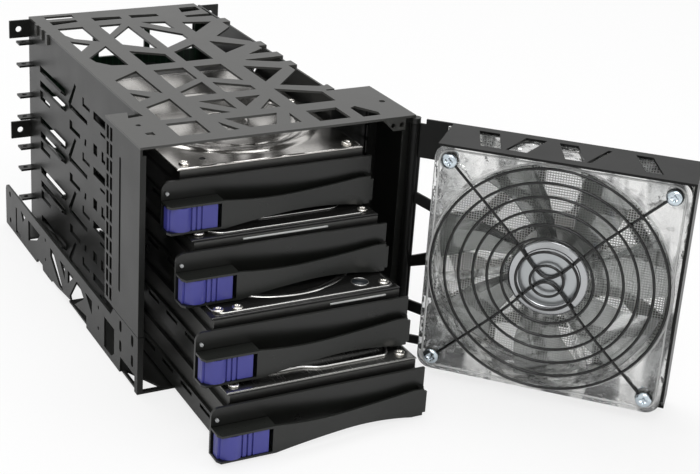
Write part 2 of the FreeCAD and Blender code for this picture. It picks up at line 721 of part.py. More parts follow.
def tray_frame(level):
    """Face wall, floor and slotted side rails of one tray, with ears and a pin for the handle."""
    body = Body("TrayFrame")
    y, z = tray_y(level), tray_z(level)
    wall_y = y + d.grip_depth
    back_y = wall_y + d.face_sheet
    top = z + d.face_height
    body.pad("XZ", wall_y, back_y, [(face_x0, z), (face_x1, z), (face_x1, top), (face_x0 + 4, top, 4.0),
                                    (face_x0, top - 4)])
    length = d.drive_length + DRIVE_SETBACK + 1
    out = d.drive_width / 2 + d.play + d.tray_rail
    low = z + FLOOR_RISE
    body.pad("XY", low, low + d.tray_floor, rect(mid - out, mid + out, back_y, back_y + length),
             rect(mid - out + 12, mid + out - 12, back_y + 10, back_y + length / 2 - 6),
             rect(mid - out + 12, mid + out - 12, back_y + length / 2 + 6, back_y + length - 12))
    for x0, x1 in ((mid - out, mid - out + d.tray_rail), (mid + out - d.tray_rail, mid + out)):
        body.pad("YZ", x0, x1, rect(back_y, back_y + length, low, low + d.rail_height))
    slot = body.pocket("YZ", mid - out - 1, mid + out + 1, rect(back_y + 14, back_y + 28, low + 6.5, low + 8.5))
    body.row([slot], "Y", 96.0, 5)
    pin_x, pin_y = pin_place(level)
    ear = KNUCKLE + 0.1
    ears = [(pin_x - ear, pin_y, ear), (pin_x + ear, pin_y), (pin_x + ear, wall_y + 0.5),
            (pin_x - ear, wall_y + 0.5)]
    lower = body.pad("XY", z, z + PIN_EAR, ears)
    body.row([lower], "Z", d.grip_height - PIN_EAR, 2)
    body.pad("XY", z, z + d.grip_height, (pin_x, pin_y, d.hinge_wire))
    return body.item


def handle(level):
    """Swinging handle: S-curved front wall with arched edges, latch end with lips, and a knuckle."""
    body = Body("Handle")
    y, z = tray_y(level), tray_z(level)
    top = z + d.grip_height
    latch_x = face_x0 + d.latch_length
    pin_x, pin_y = pin_place(level)
    bend_x, end_x = pin_x - 4.0, face_x1 - 0.4
    run, ease, wall = bend_x - latch_x, d.grip_ease, d.grip_wall
    radius = (run * run + ease * ease) / (4 * ease)
    back_x = latch_x + run / 2 - wall * run / (2 * radius)
    back_y = y + ease / 2 + wall * (radius - ease / 2) / radius
    body.pad("XY", z, top, [
        (latch_x, y, radius), (latch_x + run / 2, y + ease / 2, -radius), (bend_x, y + ease),
        (end_x, y + ease), (end_x, y + ease + wall), (bend_x, y + ease + wall, radius + wall),
        (back_x, back_y, -(radius - wall)), (latch_x, y + wall)])
    x0, x1 = latch_x + 2, bend_x - 2
    for edge, rise, over in ((z, 3.2, -1.0), (top, -2.2, 1.0)):
        size = abs(rise)
        arch = ((x1 - x0) * (x1 - x0) / 4 + size * size) / (2 * size)
        if rise > 0:
            lens = [(x1, edge, arch), (x0, edge), (x0, edge + over), (x1, edge + over)]
        else:
            lens = [(x0, edge, arch), (x1, edge), (x1, edge + over), (x0, edge + over)]
        body.pocket("XZ", y - 3, y + ease + wall + 1, lens)
    lip_back = y + d.grip_depth - 0.4
    lip = [(face_x0 + 1.5, y), (latch_x, y), (latch_x, lip_back), (face_x0, lip_back), (face_x0, y + 2.5)]
    body.pad("XY", z, top, rect(latch_x, latch_x + wall, y, lip_back))
    lower = body.pad("XY", z, z + 1.1, lip)
    body.row([lower], "Z", d.grip_height - 1.1, 2)
    body.pad("XY", z, top, rect(face_x0 + 3, latch_x + 0.2, lip_back - 1.0, lip_back))
    low, high = z + PIN_EAR + d.running, top - PIN_EAR - d.running
    body.pocket("XZ", y + 3, pin_y + 3, rect(pin_x + 0.2, end_x + 1, z - 1, low),
                rect(pin_x + 0.2, end_x + 1, high, top + 1))
    body.pad("XY", low, high, [(pin_x - KNUCKLE, y + ease + 0.4), (pin_x + KNUCKLE, y + ease + 0.4),
                               (pin_x + KNUCKLE, pin_y, KNUCKLE), (pin_x - KNUCKLE, pin_y)])
    body.pocket("XY", low - 1, high + 1, (pin_x, pin_y, d.hinge_wire + d.running))
    return body.item


def latch_button(level):
    """Grooved button between the lips, bulging at its left end."""
    body = Body("Button")
    y, z = tray_y(level), tray_z(level)
    low = z + 1.1 + d.running
    high = z + d.grip_height - 1.1 - d.running
    x0 = face_x0 + 0.8
    x1 = face_x0 + d.latch_length - d.latch_travel - 0.2
    back = y + d.grip_depth - 1.6
    bulge = 7.0
    body.pad("XY", low, high, [
        (x0, y + 3.4), (x0 + 1.2, y + 3.4), (x0 + 1.2, y + 6.6 - math.sqrt(bulge ** 2 - 5.8 ** 2), bulge),
        (x0 + 7.0 + math.sqrt(bulge ** 2 - 36.0), y + 0.6), (x1, y + 0.6), (x1, back), (x0, back)])
    groove = body.pocket("XY", low - 1, high + 1, rect(x0 + 10.5, x0 + 11.4, y - 1, y + 1.5))
    body.row([groove], "X", 5.2, 3)
    return body.item


def drive_place(level):
    """Where a drive lies: its left front lower corner."""
    y = tray_y(level) + d.grip_depth + d.face_sheet + DRIVE_SETBACK
    z = tray_z(level) + FLOOR_RISE + d.tray_floor
    return mid - d.drive_width / 2, y, z


COVER_SHEET = 0.8
RAISE = 1.0


def drive_body(level):
    """Cast body of a drive with stepped long sides, a recessed front and a socket at the rear."""
    body = Body("Drive")
    x, y, z = drive_place(level)
    wide, long = d.drive_width, d.drive_length
    top = z + d.drive_height - COVER_SHEET - RAISE
    body.pad("XY", z, top, rect(x, x + wide, y, y + long))
    body.pocket("XZ", y - 1, y + long + 1, rect(x - 1, x + 2.0, top - 6, top + 1),
                rect(x + wide - 2.0, x + wide + 1, top - 6, top + 1))
    body.pocket("XZ", y - 1, y + 1.2, rect(x + 2, x + wide - 2, z + 6, top - 4))
    body.pocket("XY", z - 1, z + 10, rect(mid - 22, mid + 22, y + long - 8, y + long + 1))
    return body.item


def cover_screws(level):
    """Centres of the cover's screws, at the corners and the middle of the long sides."""
    x, y, z = drive_place(level)
    wide, long = d.drive_width, d.drive_length
    places = ((7, 7), (wide - 7, 7), (5, long / 2), (wide - 5, long / 2), (7, long - 14), (wide - 7, long - 14))
    return [(x + px, y + py, z + d.drive_height - RAISE) for px, py in places]


def drive_cover(level):
    """Lid of a drive with its raised form: each of the four is of another make."""
    body = Body("Cover")
    x, y, z = drive_place(level)
    wide, long = d.drive_width, d.drive_length
    low = z + d.drive_height - COVER_SHEET - RAISE
    lid, high = low + COVER_SHEET, z + d.drive_height
    body.pad("XY", low, lid, rect(x + 1.0, x + wide - 1.0, y + 0.8, y + long - 8))
    cx, cy = mid - 1, y + 56
    if level == 0:
        body.pad("XY", lid, high, (cx, cy, 45.5))
        body.pad("XY", lid, high, rect(x + 8, x + wide - 16, y + 70, y + long - 12))
        body.pocket("XY", lid + 0.5, high + 0.5, (cx, cy, 37.0))
    elif level == 1:
        body.pad("XY", lid, high, (cx, cy, 42.0))
        body.pad("XY", lid, high, rect(x + 10, x + wide - 26, y + 60, y + long - 14))
    elif level == 2:
        body.pad("XY", lid, high, rect(x + 4, x + wide - 4, y + 5, y + long - 10))
        body.pocket("XY", lid, high + 0.5, (cx, cy, 46.0))
    else:
        body.pad("XY", lid, high, [
            (x + 14, y + 12), (x + 54, y + 8), (x + wide - 14, y + 8), (x + wide - 8, y + 22),
            (x + wide - 8, y + long - 30), (x + wide - 30, y + long - 12), (x + 22, y + long - 12),
            (x + 8, y + long - 40), (x + 8, y + 24)])
    body.pocket("XY", lid, high + 0.5, *[(px, py, 3.4) for px, py, pz in cover_screws(level)])
    return body.item


def drive_screws(level):
    """The screws that hold the cover."""
    return group("CoverScrews", [prism("CoverScrew", 12, px, py, pz, 2.2, 0.9) for px, py, pz in cover_screws(level)])


def light_pipe(level):
    """Clear rod at the left end of the face, beside the rail."""
    y, z = tray_y(level), tray_z(level)
    return prism("LightPipe", 12, face_x0 + 2.6, y + d.grip_depth - 1.8, z + d.face_height - 5.6, 1.4, 1.8, BACK)


# ---------------------------------------------------------------- door, drawn shut with X from the hinge
# On the door X runs from the hinge to the free edge, Z is up, and the cage's inside is at minus Y.
DOOR_LOW = 3.4
DOOR_WINDOWS = [
    [(3.6, 8), (14, 8), (14, 20), (3.6, 22)],
    [(3.6, 28), (14, 26), (14, 50), (3.6, 47)],
    [(3.6, 53), (14, 57), (14, 78), (3.6, 82)],
    [(3.6, 88), (14, 84), (14, 107), (3.6, 107)],
    [(20.7, 12), (46.7, 12), (46.7, 26), (32.7, 34), (20.7, 22)],
    [(20.7, 30), (30.7, 40), (22.7, 58), (20.7, 58)],
    [(50.7, 10), (72.7, 10), (66.7, 27), (50.7, 25)],
    [(78.7, 10), (100.7, 10), (100.7, 27), (84.7, 30), (72.7, 27)],
    [(105.7, 12), (130.7, 12), (130.7, 36), (114.7, 30), (105.7, 26)],
    [(35.7, 40), (54.7, 30), (62.7, 36), (48.7, 54), (38.7, 52)],
    [(70.7, 32), (82.7, 35), (80.7, 44), (70.7, 42)],
    [(90.7, 34), (108.7, 32), (122.7, 38), (106.7, 54), (96.7, 48)],
    [(24.7, 64), (42.7, 58), (54.7, 62), (54.7, 70), (38.7, 78), (24.7, 74)],
    [(99.7, 60), (114.7, 56), (130.7, 46), (130.7, 70), (114.7, 74), (100.7, 70)],
    [(20.7, 80), (36.7, 84), (46.7, 98), (32.7, 118), (20.7, 118)],
    [(42.7, 80), (56.7, 76), (64.7, 84), (62.7, 92), (52.7, 96)],
    [(50.7, 102), (60.7, 98), (58.7, 120), (38.7, 120)],
    [(66.7, 98), (72.7, 90), (80.7, 92), (88.7, 118), (66.7, 120)],
    [(90.7, 84), (100.7, 77), (114.7, 80), (106.7, 92), (94.7, 94)],
    [(94.7, 100), (108.7, 98), (112.7, 120), (96.7, 120)],
    [(114.7, 92), (122.7, 80), (130.7, 78), (130.7, 118), (120.7, 118)],
]
FLANGE_GAPS = [(33, 43, 5), (56, 66, -6), (72, 81, 6), (95, 97, -7), (108, 116, 7)]


def door_panel():
    """Skin with an irregular grille, flanges round the fan, and knuckles on the hinge axis."""
    body = Body("DoorPanel")
    reach, top = d.door_reach, door_high + d.door_sheet
    clear = hinge_clear + 2.5
    body.pad("XZ", 0 * d.sheet, d.door_sheet, [
        (0, DOOR_LOW), (reach, DOOR_LOW), (reach, top), (clear, top), (clear, LUG_HIGH_BASE - 0.2),
        (0, LUG_HIGH_BASE - 0.2)])
    body.pocket("XZ", -1 * d.sheet, d.door_sheet + 1, *DOOR_WINDOWS)
    back = -(fan_back + 4)
    start = d.fan_offset - d.fan_size / 2 + 2
    body.pad("XY", door_high, top, rect(start, reach, back, 0))
    body.pocket("XY", door_high - 1, top + 1, *[
        [(x0, -4), (x0 + lean, back + 6), (x1 + lean, back + 6), (x1, -4)] for x0, x1, lean in FLANGE_GAPS])
    body.pad("YZ", reach - d.door_sheet, reach, [
        (0, top), (back, top), (back, DOOR_LOW + 12), (-12, DOOR_LOW), (0, DOOR_LOW)])
    body.pad("XY", DOOR_LOW + 0 * d.sheet, DOOR_LOW + d.door_sheet, rect(start, reach, -14, 0))
    z0, z1 = LUG_LOW_TOP + 0.2, LUG_HIGH_BASE - 0.2
    body.pad("XY", z0, z1, (0, 0, d.hinge_radius))
    body.pocket("XY", z0 - 1, z1 + 1, (0, 0, d.door_pin + d.running))
    return body.item


def hinge_lug(z0, z1, pin_low, pin_high):
    """Plate that holds a hinge pin, fixed inside the corner of the front section, and its pin."""
    body = Body("Lug")
    inner = half - d.sheet - d.play
    body.pad("XY", z0, z1, [
        (inner - 14, 1.6), (inner - 1.5, 1.6), (half - 1.4, -1.6), (half + 1.2, 1.4), (inner, hinge_clear),
        (inner, 12.0), (inner - 14, 12.0)])
    body.pad("XY", z0, z1, (half, 0, d.hinge_radius))
    body.pad("XY", pin_low, pin_high, (half, 0, d.door_pin))
    return body.item


def hinge_lugs():
    """Both lugs with their pins."""
    return group("HingeLugs", [hinge_lug(floor_top, LUG_LOW_TOP, LUG_LOW_TOP - 1, LUG_LOW_TOP + 7),
                               hinge_lug(LUG_HIGH_BASE, roof, LUG_HIGH_BASE - 7, LUG_HIGH_BASE + 1)])


def door_filter():
    """Woven dust filter behind the grille; its weave is finer than the solid shows."""
    body = Body("DoorFilter")
    x0, x1 = d.fan_offset - d.fan_size / 2, d.fan_offset + d.fan_size / 2
    z0, z1 = fan_level - d.fan_size / 2, fan_level + d.fan_size / 2
    body.pad("XZ", -d.filter_sheet, 0 * d.filter_sheet, rect(x0, x1, z0, z1))
    body.pad("XZ", -fan_front, -d.filter_sheet, rect(x0, x1, z0, z1), rect(x0 + 3, x1 - 3, z0 + 3, z1 - 3))
    return body.item


# The fan's own bodies have its axis as their Y axis and the skin's inner face at y = 0.
FAN_PLACE = DOOR.multiply(FreeCAD.Placement(Vec(d.fan_offset, 0, fan_level), FreeCAD.Rotation()))
DUCT_WALL = 2.2


def fan_frame():
    """Clear frame: round duct between two square flanges, corner posts, spider and motor seat."""
    body = Body("FanFrame")
    s, near, far = d.fan_size / 2, -fan_back, -fan_front
    r = 7.0
    body.pad("XZ", near, far, [
        (-s + r, -s), (s - r, -s, r), (s, -s + r), (s, s - r, r), (s - r, s), (-s + r, s, r),
        (-s, s - r), (-s, -s + r, r)])
    body.pocket("XZ", near - 1, far + 1, (0, 0, d.fan_bore))
    duct = d.fan_bore + DUCT_WALL
    cos, sin = math.cos(math.radians(22)), math.sin(math.radians(22))
    recess = body.pocket("XZ", near + 4, far - 4, [
        (duct * cos, duct * sin), (s + 1, duct * sin), (s + 1, s + 1), (duct * sin, s + 1),
        (duct * sin, duct * cos, -duct)])
    body.ring([recess], 4)
    seat = d.screw_square / 2
    boss = body.pad("XZ", near + 3, far - 3, (seat, seat, 4.2))
    body.ring([boss], 4)
    hole = body.pocket("XZ", near - 1, far + 1, (seat, seat, 2.2))
    body.ring([hole], 4)
    lean = math.radians(20)
    ends = [(10, -2), (d.fan_bore + 1, -2), (d.fan_bore + 1, 2), (10, 2)]
    arm = body.pad("XZ", far - 3.0, far, [
        (run * math.cos(lean) - rise * math.sin(lean), run * math.sin(lean) + rise * math.cos(lean))
        for run, rise in ends])
    body.ring([arm], 4)
    body.pad("XZ", far - 3.0, far, (0, 0, d.hub_radius - 1))
    body.pad("XZ", far - 15.0, far, (0, 0, 3.0))
    return body.item


def fan_rotor():
    """Hub cup turned in one piece with its boss, and swept blades lofted from it and trimmed."""
    body = Body("FanRotor")
    y0 = -fan_back + 1.2
    y1 = y0 + d.fan_depth - 5.0
    hub, bore = d.hub_radius, 3.0 + d.running
    turned = body.feature("Revolution", body.sketch("XY", 0, [[
        (0, y0), (hub - 2, y0, 2.0), (hub, y0 + 2), (hub, y1), (hub - 2, y1), (hub - 2, y0 + 2), (6.0, y0 + 2),
        (6.0, y0 + 11), (bore, y0 + 11), (bore, y0 + 3), (0, y0 + 3)]]))
    turned.ReferenceAxis = (body.origin("Y_Axis"), [""])
    turned.Angle = 360
    middle = (y0 + y1) / 2
    inner, outer = hub - 1.4, d.fan_bore - d.blade_gap + 1.5
    sections = []
    for step in range(3):
        part = step / 2.0
        pitch, sweep = math.radians(40 - 16 * part), math.radians(18 * part)
        chord = 15 + 21 * part
        corners = []
        for run, rise in ((-0.5, 0.0), (-0.15, 1.5), (0.5, 0.9), (0.5, 0.0)):
            flat = run * chord * math.cos(pitch) - rise * math.sin(pitch)
            lift = run * chord * math.sin(pitch) + rise * math.cos(pitch)
            corners.append((middle + lift, flat))
        section = body.sketch("YZ", 0, [corners])
        radius = inner + (outer - inner) * part
        turn = FreeCAD.Rotation(Vec(1, 0, 0), -math.degrees(sweep))
        section.AttachmentOffset = FreeCAD.Placement(Vec(0, radius * math.sin(sweep), radius * math.cos(sweep)), turn)
        bind(section, "AttachmentOffset.Base.y", radius * math.sin(sweep))
        bind(section, "AttachmentOffset.Base.z", radius * math.cos(sweep))
        sections.append(section)
    blade = body.feature("AdditiveLoft", sections[0])
    blade.Sections = sections[1:]
    blade.Ruled = True
    body.ring([blade], BLADES)
    body.pocket("XZ", y0 - 30, y1 + 30, (0, 0, 90.0), (0, 0, d.fan_bore - d.blade_gap))
    return body.item


def screw_places():
    """Centres of the four fan screws from the fan's axis."""
    reach = d.screw_square / 2
    return [(sx * reach, sz * reach) for sx in (-1, 1) for sz in (-1, 1)]


def fan_guard():
    """Round rings on two bent cross wires, held by loops round the screws."""
    y = -(fan_back + d.wire)
    y_ring = y - 1.6 * d.wire
    profiles = []
    for ring in range(GUARD_RINGS):
        radius = (ring + 1) * d.guard_pitch + 1.0
        profiles.append([(radius + d.wire * math.cos(math.radians(turn)), y_ring + d.wire * math.sin(math.radians(turn)))
                         for turn in range(0, 360, 60)])
    wires = doc.addObject("Sketcher::SketchObject", "RingProfiles")
    draw(wires, profiles)
    rings = doc.addObject("Part::Revolution", "Rings")
    rings.Source = wires
    rings.Axis = BACK
    rings.Angle = 360
    rings.Solid = True
    pieces = [rings]
    reach = d.screw_square / 2
    for sign in (-1, 1):
        long = math.sqrt(2) * (reach - 6.0)
        for side in (-1, 1):
            pieces.append(prism("CrossWire", 8, side * 6.0, y, sign * 6.0, d.wire, long, Vec(side, 0, sign)))
        pieces.append(prism("CrossWire", 8, -6.5, y, sign * 6.0, d.wire, 13.0, Vec(1, 0, 0)))
    clear = [prism("Eye", 16, x, y - 3, z, 2.6, 6, BACK) for x, z in screw_places()]
    loops = [cut("Loop", prism("LoopRim", 16, x, y - d.wire, z, 3.4 + d.wire, 2 * d.wire, BACK),
                 [prism("LoopEye", 16, x, y - 3, z, 3.4 - d.wire, 6, BACK)]) for x, z in screw_places()]
    return join("Guard", [cut("Wires", join("AllWires", pieces), clear)] + loops)


def fan_screws():
    """Cross-recessed screws through the guard's loops into the frame."""
    pieces = []
    y_head = -(fan_back + 2 * d.wire)
    for x, z in screw_places():
        head = doc.addObject("Part::Cone", "ScrewHead")
        head.Radius1, head.Radius2, head.Height = 3.9, 3.0, 1.8
        place(head, x, y_head, z, -BACK)
        shank = prism("Shank", 12, x, y_head, z, 2.0, 14, BACK)
        cross = [box("Recess", x - a, x + a, y_head - 2, y_head - 1.0, z - b, z + b)
                 for a, b in ((2.0, 0.4), (0.4, 2.0))]
        pieces.append(cut("Screw", join("ScrewBlank", [head, shank]), cross))
    return group("FanScrews", pieces)


# ---------------------------------------------------------------- build
node("cage_top_plate", top_plate())
node("cage_bottom_plate", bottom_plate())
for side, word in ((-1, "left"), (1, "right")):
    node("cage_side_panel_" + word, side_panel(side))
    node("front_cheek_" + word, cheek(side))
    node("contact_strip_" + word, contact_strip(side))
    node("lower_bracket_" + word, bracket(side))
    node("rear_tabs_" + word, rear_tabs(side))
    node("tray_runners_" + word, runner(side))
node("rear_frame", rear_frame())
node("backplane_board", backplane_board())
node("backplane_sockets", backplane_connectors())
node("backplane_ports", backplane_ports())
node("hinge_lugs", hinge_lugs())
for level in range(TRAY_COUNT):
    for word, make in (("frame", tray_frame), ("drive", drive_body), ("cover", drive_cover),
                       ("screws", drive_screws), ("handle", handle), ("button", latch_button),
                       ("light", light_pipe)):
        node("tray_%d_%s" % (level + 1, word), make(level))
node("door_panel", door_panel(), DOOR)
node("door_filter", door_filter(), DOOR)
for label, make in (("fan_frame", fan_frame), ("fan_rotor", fan_rotor), ("fan_guard", fan_guard),
                    ("fan_screws", fan_screws)):
    node(label, make(), FAN_PLACE)

doc.recompute()

for item in doc.Objects:
    if "Invalid" in item.State or "Error" in item.State:
        raise RuntimeError("%s did not build: %s" % (item.Name, item.State))
for item in doc.Objects:
    if item.TypeId == "PartDesign::Pocket":
        if item.Shape.Volume > item.BaseFeature.Shape.Volume - 1e-3:
            raise RuntimeError("%s cuts nothing" % item.Name)
os.makedirs("parts", exist_ok=True)
for item in nodes:
    if item.Shape.isNull() or not item.Shape.isValid():
        raise RuntimeError("%s has no valid shape" % item.Label)
for item in nodes:
    item.Shape.exportStep("parts/%s.step" % item.Label)
print("wrote %d sub-parts" % len(nodes))
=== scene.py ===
# Hot-swap drive cage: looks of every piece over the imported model.
# The black steel box carries four drive trays and a hinged door with a clear fan.
import math

import bmesh
import bpy
import numpy as np
from mathutils import Matrix, Vector


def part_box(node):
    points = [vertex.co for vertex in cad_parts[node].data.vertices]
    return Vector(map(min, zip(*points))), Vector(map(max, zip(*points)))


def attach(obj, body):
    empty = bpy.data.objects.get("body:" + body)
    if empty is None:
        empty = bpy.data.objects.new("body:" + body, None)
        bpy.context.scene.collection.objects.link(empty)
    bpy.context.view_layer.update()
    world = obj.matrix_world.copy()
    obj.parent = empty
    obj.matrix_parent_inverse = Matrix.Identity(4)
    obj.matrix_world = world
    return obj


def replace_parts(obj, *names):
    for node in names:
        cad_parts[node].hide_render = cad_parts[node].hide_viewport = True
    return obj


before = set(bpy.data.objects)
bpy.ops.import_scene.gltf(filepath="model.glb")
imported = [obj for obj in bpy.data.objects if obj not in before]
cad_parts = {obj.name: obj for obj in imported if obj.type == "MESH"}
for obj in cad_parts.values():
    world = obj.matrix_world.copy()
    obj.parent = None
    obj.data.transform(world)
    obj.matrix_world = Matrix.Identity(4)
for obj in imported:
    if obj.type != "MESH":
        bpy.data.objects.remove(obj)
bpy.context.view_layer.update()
scene = bpy.context.scene


# ------------------------------------------------------------------ camera
# A long lens looks down from the front left, tilted sideways by a couple of degrees. Its frame
# is shifted so that the open door stays in view.
view_width, view_focal = 700.0, 1507.4
cam_data = bpy.data.cameras.new("camera")
cam_data.sensor_width = 36.0
cam_data.lens = view_focal * cam_data.sensor_width / view_width
cam_data.shift_x, cam_data.shift_y = 0.150, -0.075
cam_data.clip_start, cam_data.clip_end = 0.01, 20.0
camera = bpy.data.objects.new("camera", cam_data)
scene.collection.objects.link(camera)
scene.camera = camera
yaw, pitch, roll = (math.radians(angle) for angle in (-25.40, 21.84, 2.37))
back = Vector((math.sin(yaw) * math.cos(pitch), -math.cos(yaw) * math.cos(pitch), math.sin(pitch)))
level_right = Vector((math.cos(yaw), math.sin(yaw), 0.0))
level_up = back.cross(level_right)
right = level_right * math.cos(roll) + level_up * math.sin(roll)
up = level_up * math.cos(roll) - level_right * math.sin(roll)
turn = Matrix((right, up, back)).transposed()
camera.matrix_world = Matrix.Translation((-0.3058, -0.6033, 0.3716)) @ turn.to_4x4()


# ------------------------------------------------------------------ lamps, surround and floor
# A product stand: a wide pale paper floor that runs into a white surround, and three square
# soft lamps, one in front on the left, a weak one on the right and one overhead.
class Value:
    """A node socket that takes part in Python arithmetic: each operator adds its Math node."""

    def __init__(self, shade, socket):
        self.shade, self.socket = shade, socket

    def _math(self, operation, *parts):
        return self.shade.node("Math", {"operation": operation}, *parts)

    def __add__(self, other):
        return self._math("ADD", self, other)

    def __radd__(self, other):
        return self._math("ADD", other, self)

    def __sub__(self, other):
        return self._math("SUBTRACT", self, other)

    def __rsub__(self, other):
        return self._math("SUBTRACT", other, self)

    def __mul__(self, other):
        return self._math("MULTIPLY", self, other)

    def __rmul__(self, other):
        return self._math("MULTIPLY", other, self)

    def __truediv__(self, other):
        return self._math("DIVIDE", self, other)

    def __rtruediv__(self, other):
        return self._math("DIVIDE", other, self)

    def __abs__(self):
        return self._math("ABSOLUTE", self)

    def fract(self):
        return self._math("FRACT", self)

    def above(self, limit):
        return self._math("GREATER_THAN", self, limit)

    def most(self, other):
        return self._math("MAXIMUM", self, other)

    def least(self, other):
        return self._math("MINIMUM", self, other)


class Shade:
    """The nodes of one material, or of the world: node() adds any node, from its type, its
    settings and its inputs, and set() feeds the sockets of its surface shader."""

    def __init__(self, name, owner=None):
        self.material = owner or bpy.data.materials.new(name)
        self.material.use_nodes = True
        self.tree = self.material.node_tree
        self.surface = self.tree.nodes.get("Principled BSDF") or self.tree.nodes["Background"]

    def node(self, kind, settings=None, *parts, out=0, **named):
        """A node of this kind: its settings are set first, then its numbered and named inputs."""
        made = self.tree.nodes.new("ShaderNode" + kind)
        for key, value in (settings or {}).items():
            setattr(made, key, value)
        for index, value in enumerate(parts):
            self.feed(made.inputs[index], value)
        for key, value in named.items():
            self.feed(made.inputs[key.replace("_", " ")], value)
        return Value(self, made.outputs[out])

    def feed(self, socket, value):
        """Link a Value to the socket, or write a plain value in it."""
        if isinstance(value, Value):
            self.tree.links.new(value.socket, socket)
        else:
            socket.default_value = value

    def set(self, **sockets):
        """Feed the sockets of the surface shader."""
        for key, value in sockets.items():
            self.feed(self.surface.inputs[key.replace("_", " ")], value)
        return self

    def ray(self, kind):
        """1 for rays of this kind, Camera, Glossy or Transmission, and 0 for the others."""
        return self.node("LightPath", None, out="Is %s Ray" % kind)

    def place(self, turn=0.0, centre=(0.0, 0.0, 0.0)):
        """Object coordinates, moved so that centre is at zero and turned about Z by turn."""
        coords = self.node("TexCoord", None, out="Object")
        cos, sin = math.cos(turn), math.sin(turn)
        moved = (-(cos * centre[0] - sin * centre[1]), -(sin * centre[0] + cos * centre[1]), -centre[2])
        return self.node("Mapping", None, coords, Location=moved, Rotation=(0, 0, turn))

    def noise(self, coords, scale, detail):
        """Cloudy noise between 0 and 1."""
        return self.node("TexNoise", None, Vector=coords, Scale=scale, Detail=detail)

    def split(self, coords):
        """The three coordinates as Values."""
        parts = self.tree.nodes.new("ShaderNodeSeparateXYZ")
        self.feed(parts.inputs[0], coords)
        return [Value(self, parts.outputs[axis]) for axis in range(3)]

    def blend(self, factor, dark, light):
        """A colour between dark, where factor is 0, and light, where it is 1."""
        made = self.tree.nodes.new("ShaderNodeMix")
        made.data_type = "RGBA"
        for socket, value in ((made.inputs[0], factor), (made.inputs[6], dark), (made.inputs[7], light)):
            self.feed(socket, value)
        return Value(self, made.outputs[2])

    def bump(self, height, depth, strength):
        """Relief on the surface shader, height times depth in metres."""
        self.set(Normal=self.node("Bump", None, Strength=strength, Distance=depth, Height=height))
        return self


def lamp(name, place, aim, size, power):
    """A square soft lamp that faces its aim."""
    data = bpy.data.lights.new(name, "AREA")
    data.shape, data.size, data.energy = "SQUARE", size, power
    made = bpy.data.objects.new(name, data)
    made.location = place
    made.rotation_mode = "QUATERNION"
    made.rotation_quaternion = (Vector(aim) - Vector(place)).to_track_quat("-Z", "Y")
    scene.collection.objects.link(made)


middle = (0.03, 0.05, 0.06)
lamp("key", (-0.5, -1.1, 1.6), middle, 1.1, 14.0)
lamp("fill", (1.4, -0.9, 0.7), middle, 0.9, 5.0)
lamp("top", (0.1, 0.6, 1.6), middle, 1.3, 17.0)

# The surround is white where it is seen straight or through the clear plastic, a little dimmer
# where metal mirrors it, and dim as a light.
lit_level, mirrored_share = 0.30, 0.75
scene.world = bpy.data.worlds.new("surround")
surround = Shade("surround", scene.world)
mirrored = mirrored_share * surround.ray("Glossy")
seen = surround.ray("Camera").most(surround.ray("Transmission")).most(mirrored)
surround.set(Color=(1.0, 1.0, 1.0, 1.0), Strength=lit_level + (1.0 - lit_level) * seen)
scene.view_settings.view_transform = "Standard"

# The paper keeps the object's shadow and is lightened towards white for the camera alone.
floor_reach, floor_level, paper_white = 6.0, -0.0004, 0.78
floor_mesh = bpy.data.meshes.new("floor")
corner_signs = np.array([(-1, -1), (1, -1), (1, 1), (-1, 1)])
floor_corners = np.column_stack([corner_signs * floor_reach, np.full(4, floor_level)])
floor_mesh.from_pydata(floor_corners.tolist(), [], [(0, 1, 2, 3)])
floor = bpy.data.objects.new("floor", floor_mesh)
scene.collection.objects.link(floor)
paper = Shade("floor_paper")
paper.set(Base_Color=(0.93, 0.93, 0.93, 1.0), Roughness=0.9)
paper_shader = paper.node("MixShader", None, paper_white * paper.ray("Camera"),
                          Value(paper, paper.surface.outputs[0]), paper.node("Emission", None, Strength=1.0))
paper.feed(paper.tree.nodes["Material Output"].inputs["Surface"], paper_shader)
floor_mesh.materials.append(paper.material)


# ------------------------------------------------------------------ folded steel of the cage
# Pressed and folded sheet steel with a satin black powder coat: an even skin with a fine
# orange-peel grain and slight cloudiness. The lattice on top gets a greyer coat: painted light, for
# the light it catches from above.
def shades_of(colour, spread):
    """A colour's darker and lighter ends, each spread away from it, with full alpha."""
    return [tuple(min(1.0, channel * (1.0 + side * spread)) for channel in colour) + (1.0,)
            for side in (-1, 1)]


def powder_coat(name, colour, rough, grain=0.00004, shine=0.5):
    """Powder coat: cloudy colour and roughness, and an orange-peel bump as deep as grain."""
    shade = Shade(name)
    coords = shade.place()
    cloud = shade.noise(coords, 34.0, 4.0)
    peel = shade.noise(coords, 1400.0, 2.0)
    shade.set(Base_Color=shade.blend(cloud, *shades_of(colour, 0.22)),
              Roughness=rough + 0.16 * (cloud - 0.5), Specular_IOR_Level=shine)
    return shade.bump(peel, grain, 0.6).material


def dress(material, *nodes):
    """Give CAD nodes their material."""
    for node in nodes:
        piece = bpy.data.objects[node]
        piece.data.materials.clear()
        piece.data.materials.append(material)


cage_black = powder_coat("cage_black", (0.009, 0.0095, 0.0085), rough=0.36, shine=0.32)
# Painted light: the top lattice's coat is greyer than the cage's, to stand in for the light from above.
lattice_grey_painted_light = powder_coat("lattice_grey_painted_light", (0.039, 0.039, 0.036), rough=0.36)
dress(cage_black, "cage_side_panel_left", "cage_side_panel_right", "cage_bottom_plate", "rear_frame",
      "front_cheek_left", "front_cheek_right", "contact_strip_left", "contact_strip_right",
      "rear_tabs_left", "rear_tabs_right", "tray_runners_left", "tray_runners_right", "hinge_lugs",
      "lower_bracket_left", "lower_bracket_right")
dress(lattice_grey_painted_light, "cage_top_plate")


# ------------------------------------------------------------------ tray frames
# Each tray is one folded steel channel with a smoother, glossier black coat than the cage's. It
# slides on the cage's runners and carries its drive between its sides.
def on_trays(kind):
    """The names of the four trays' CAD nodes of this kind."""
    return ["tray_%d_%s" % (number, kind) for number in tray_numbers]


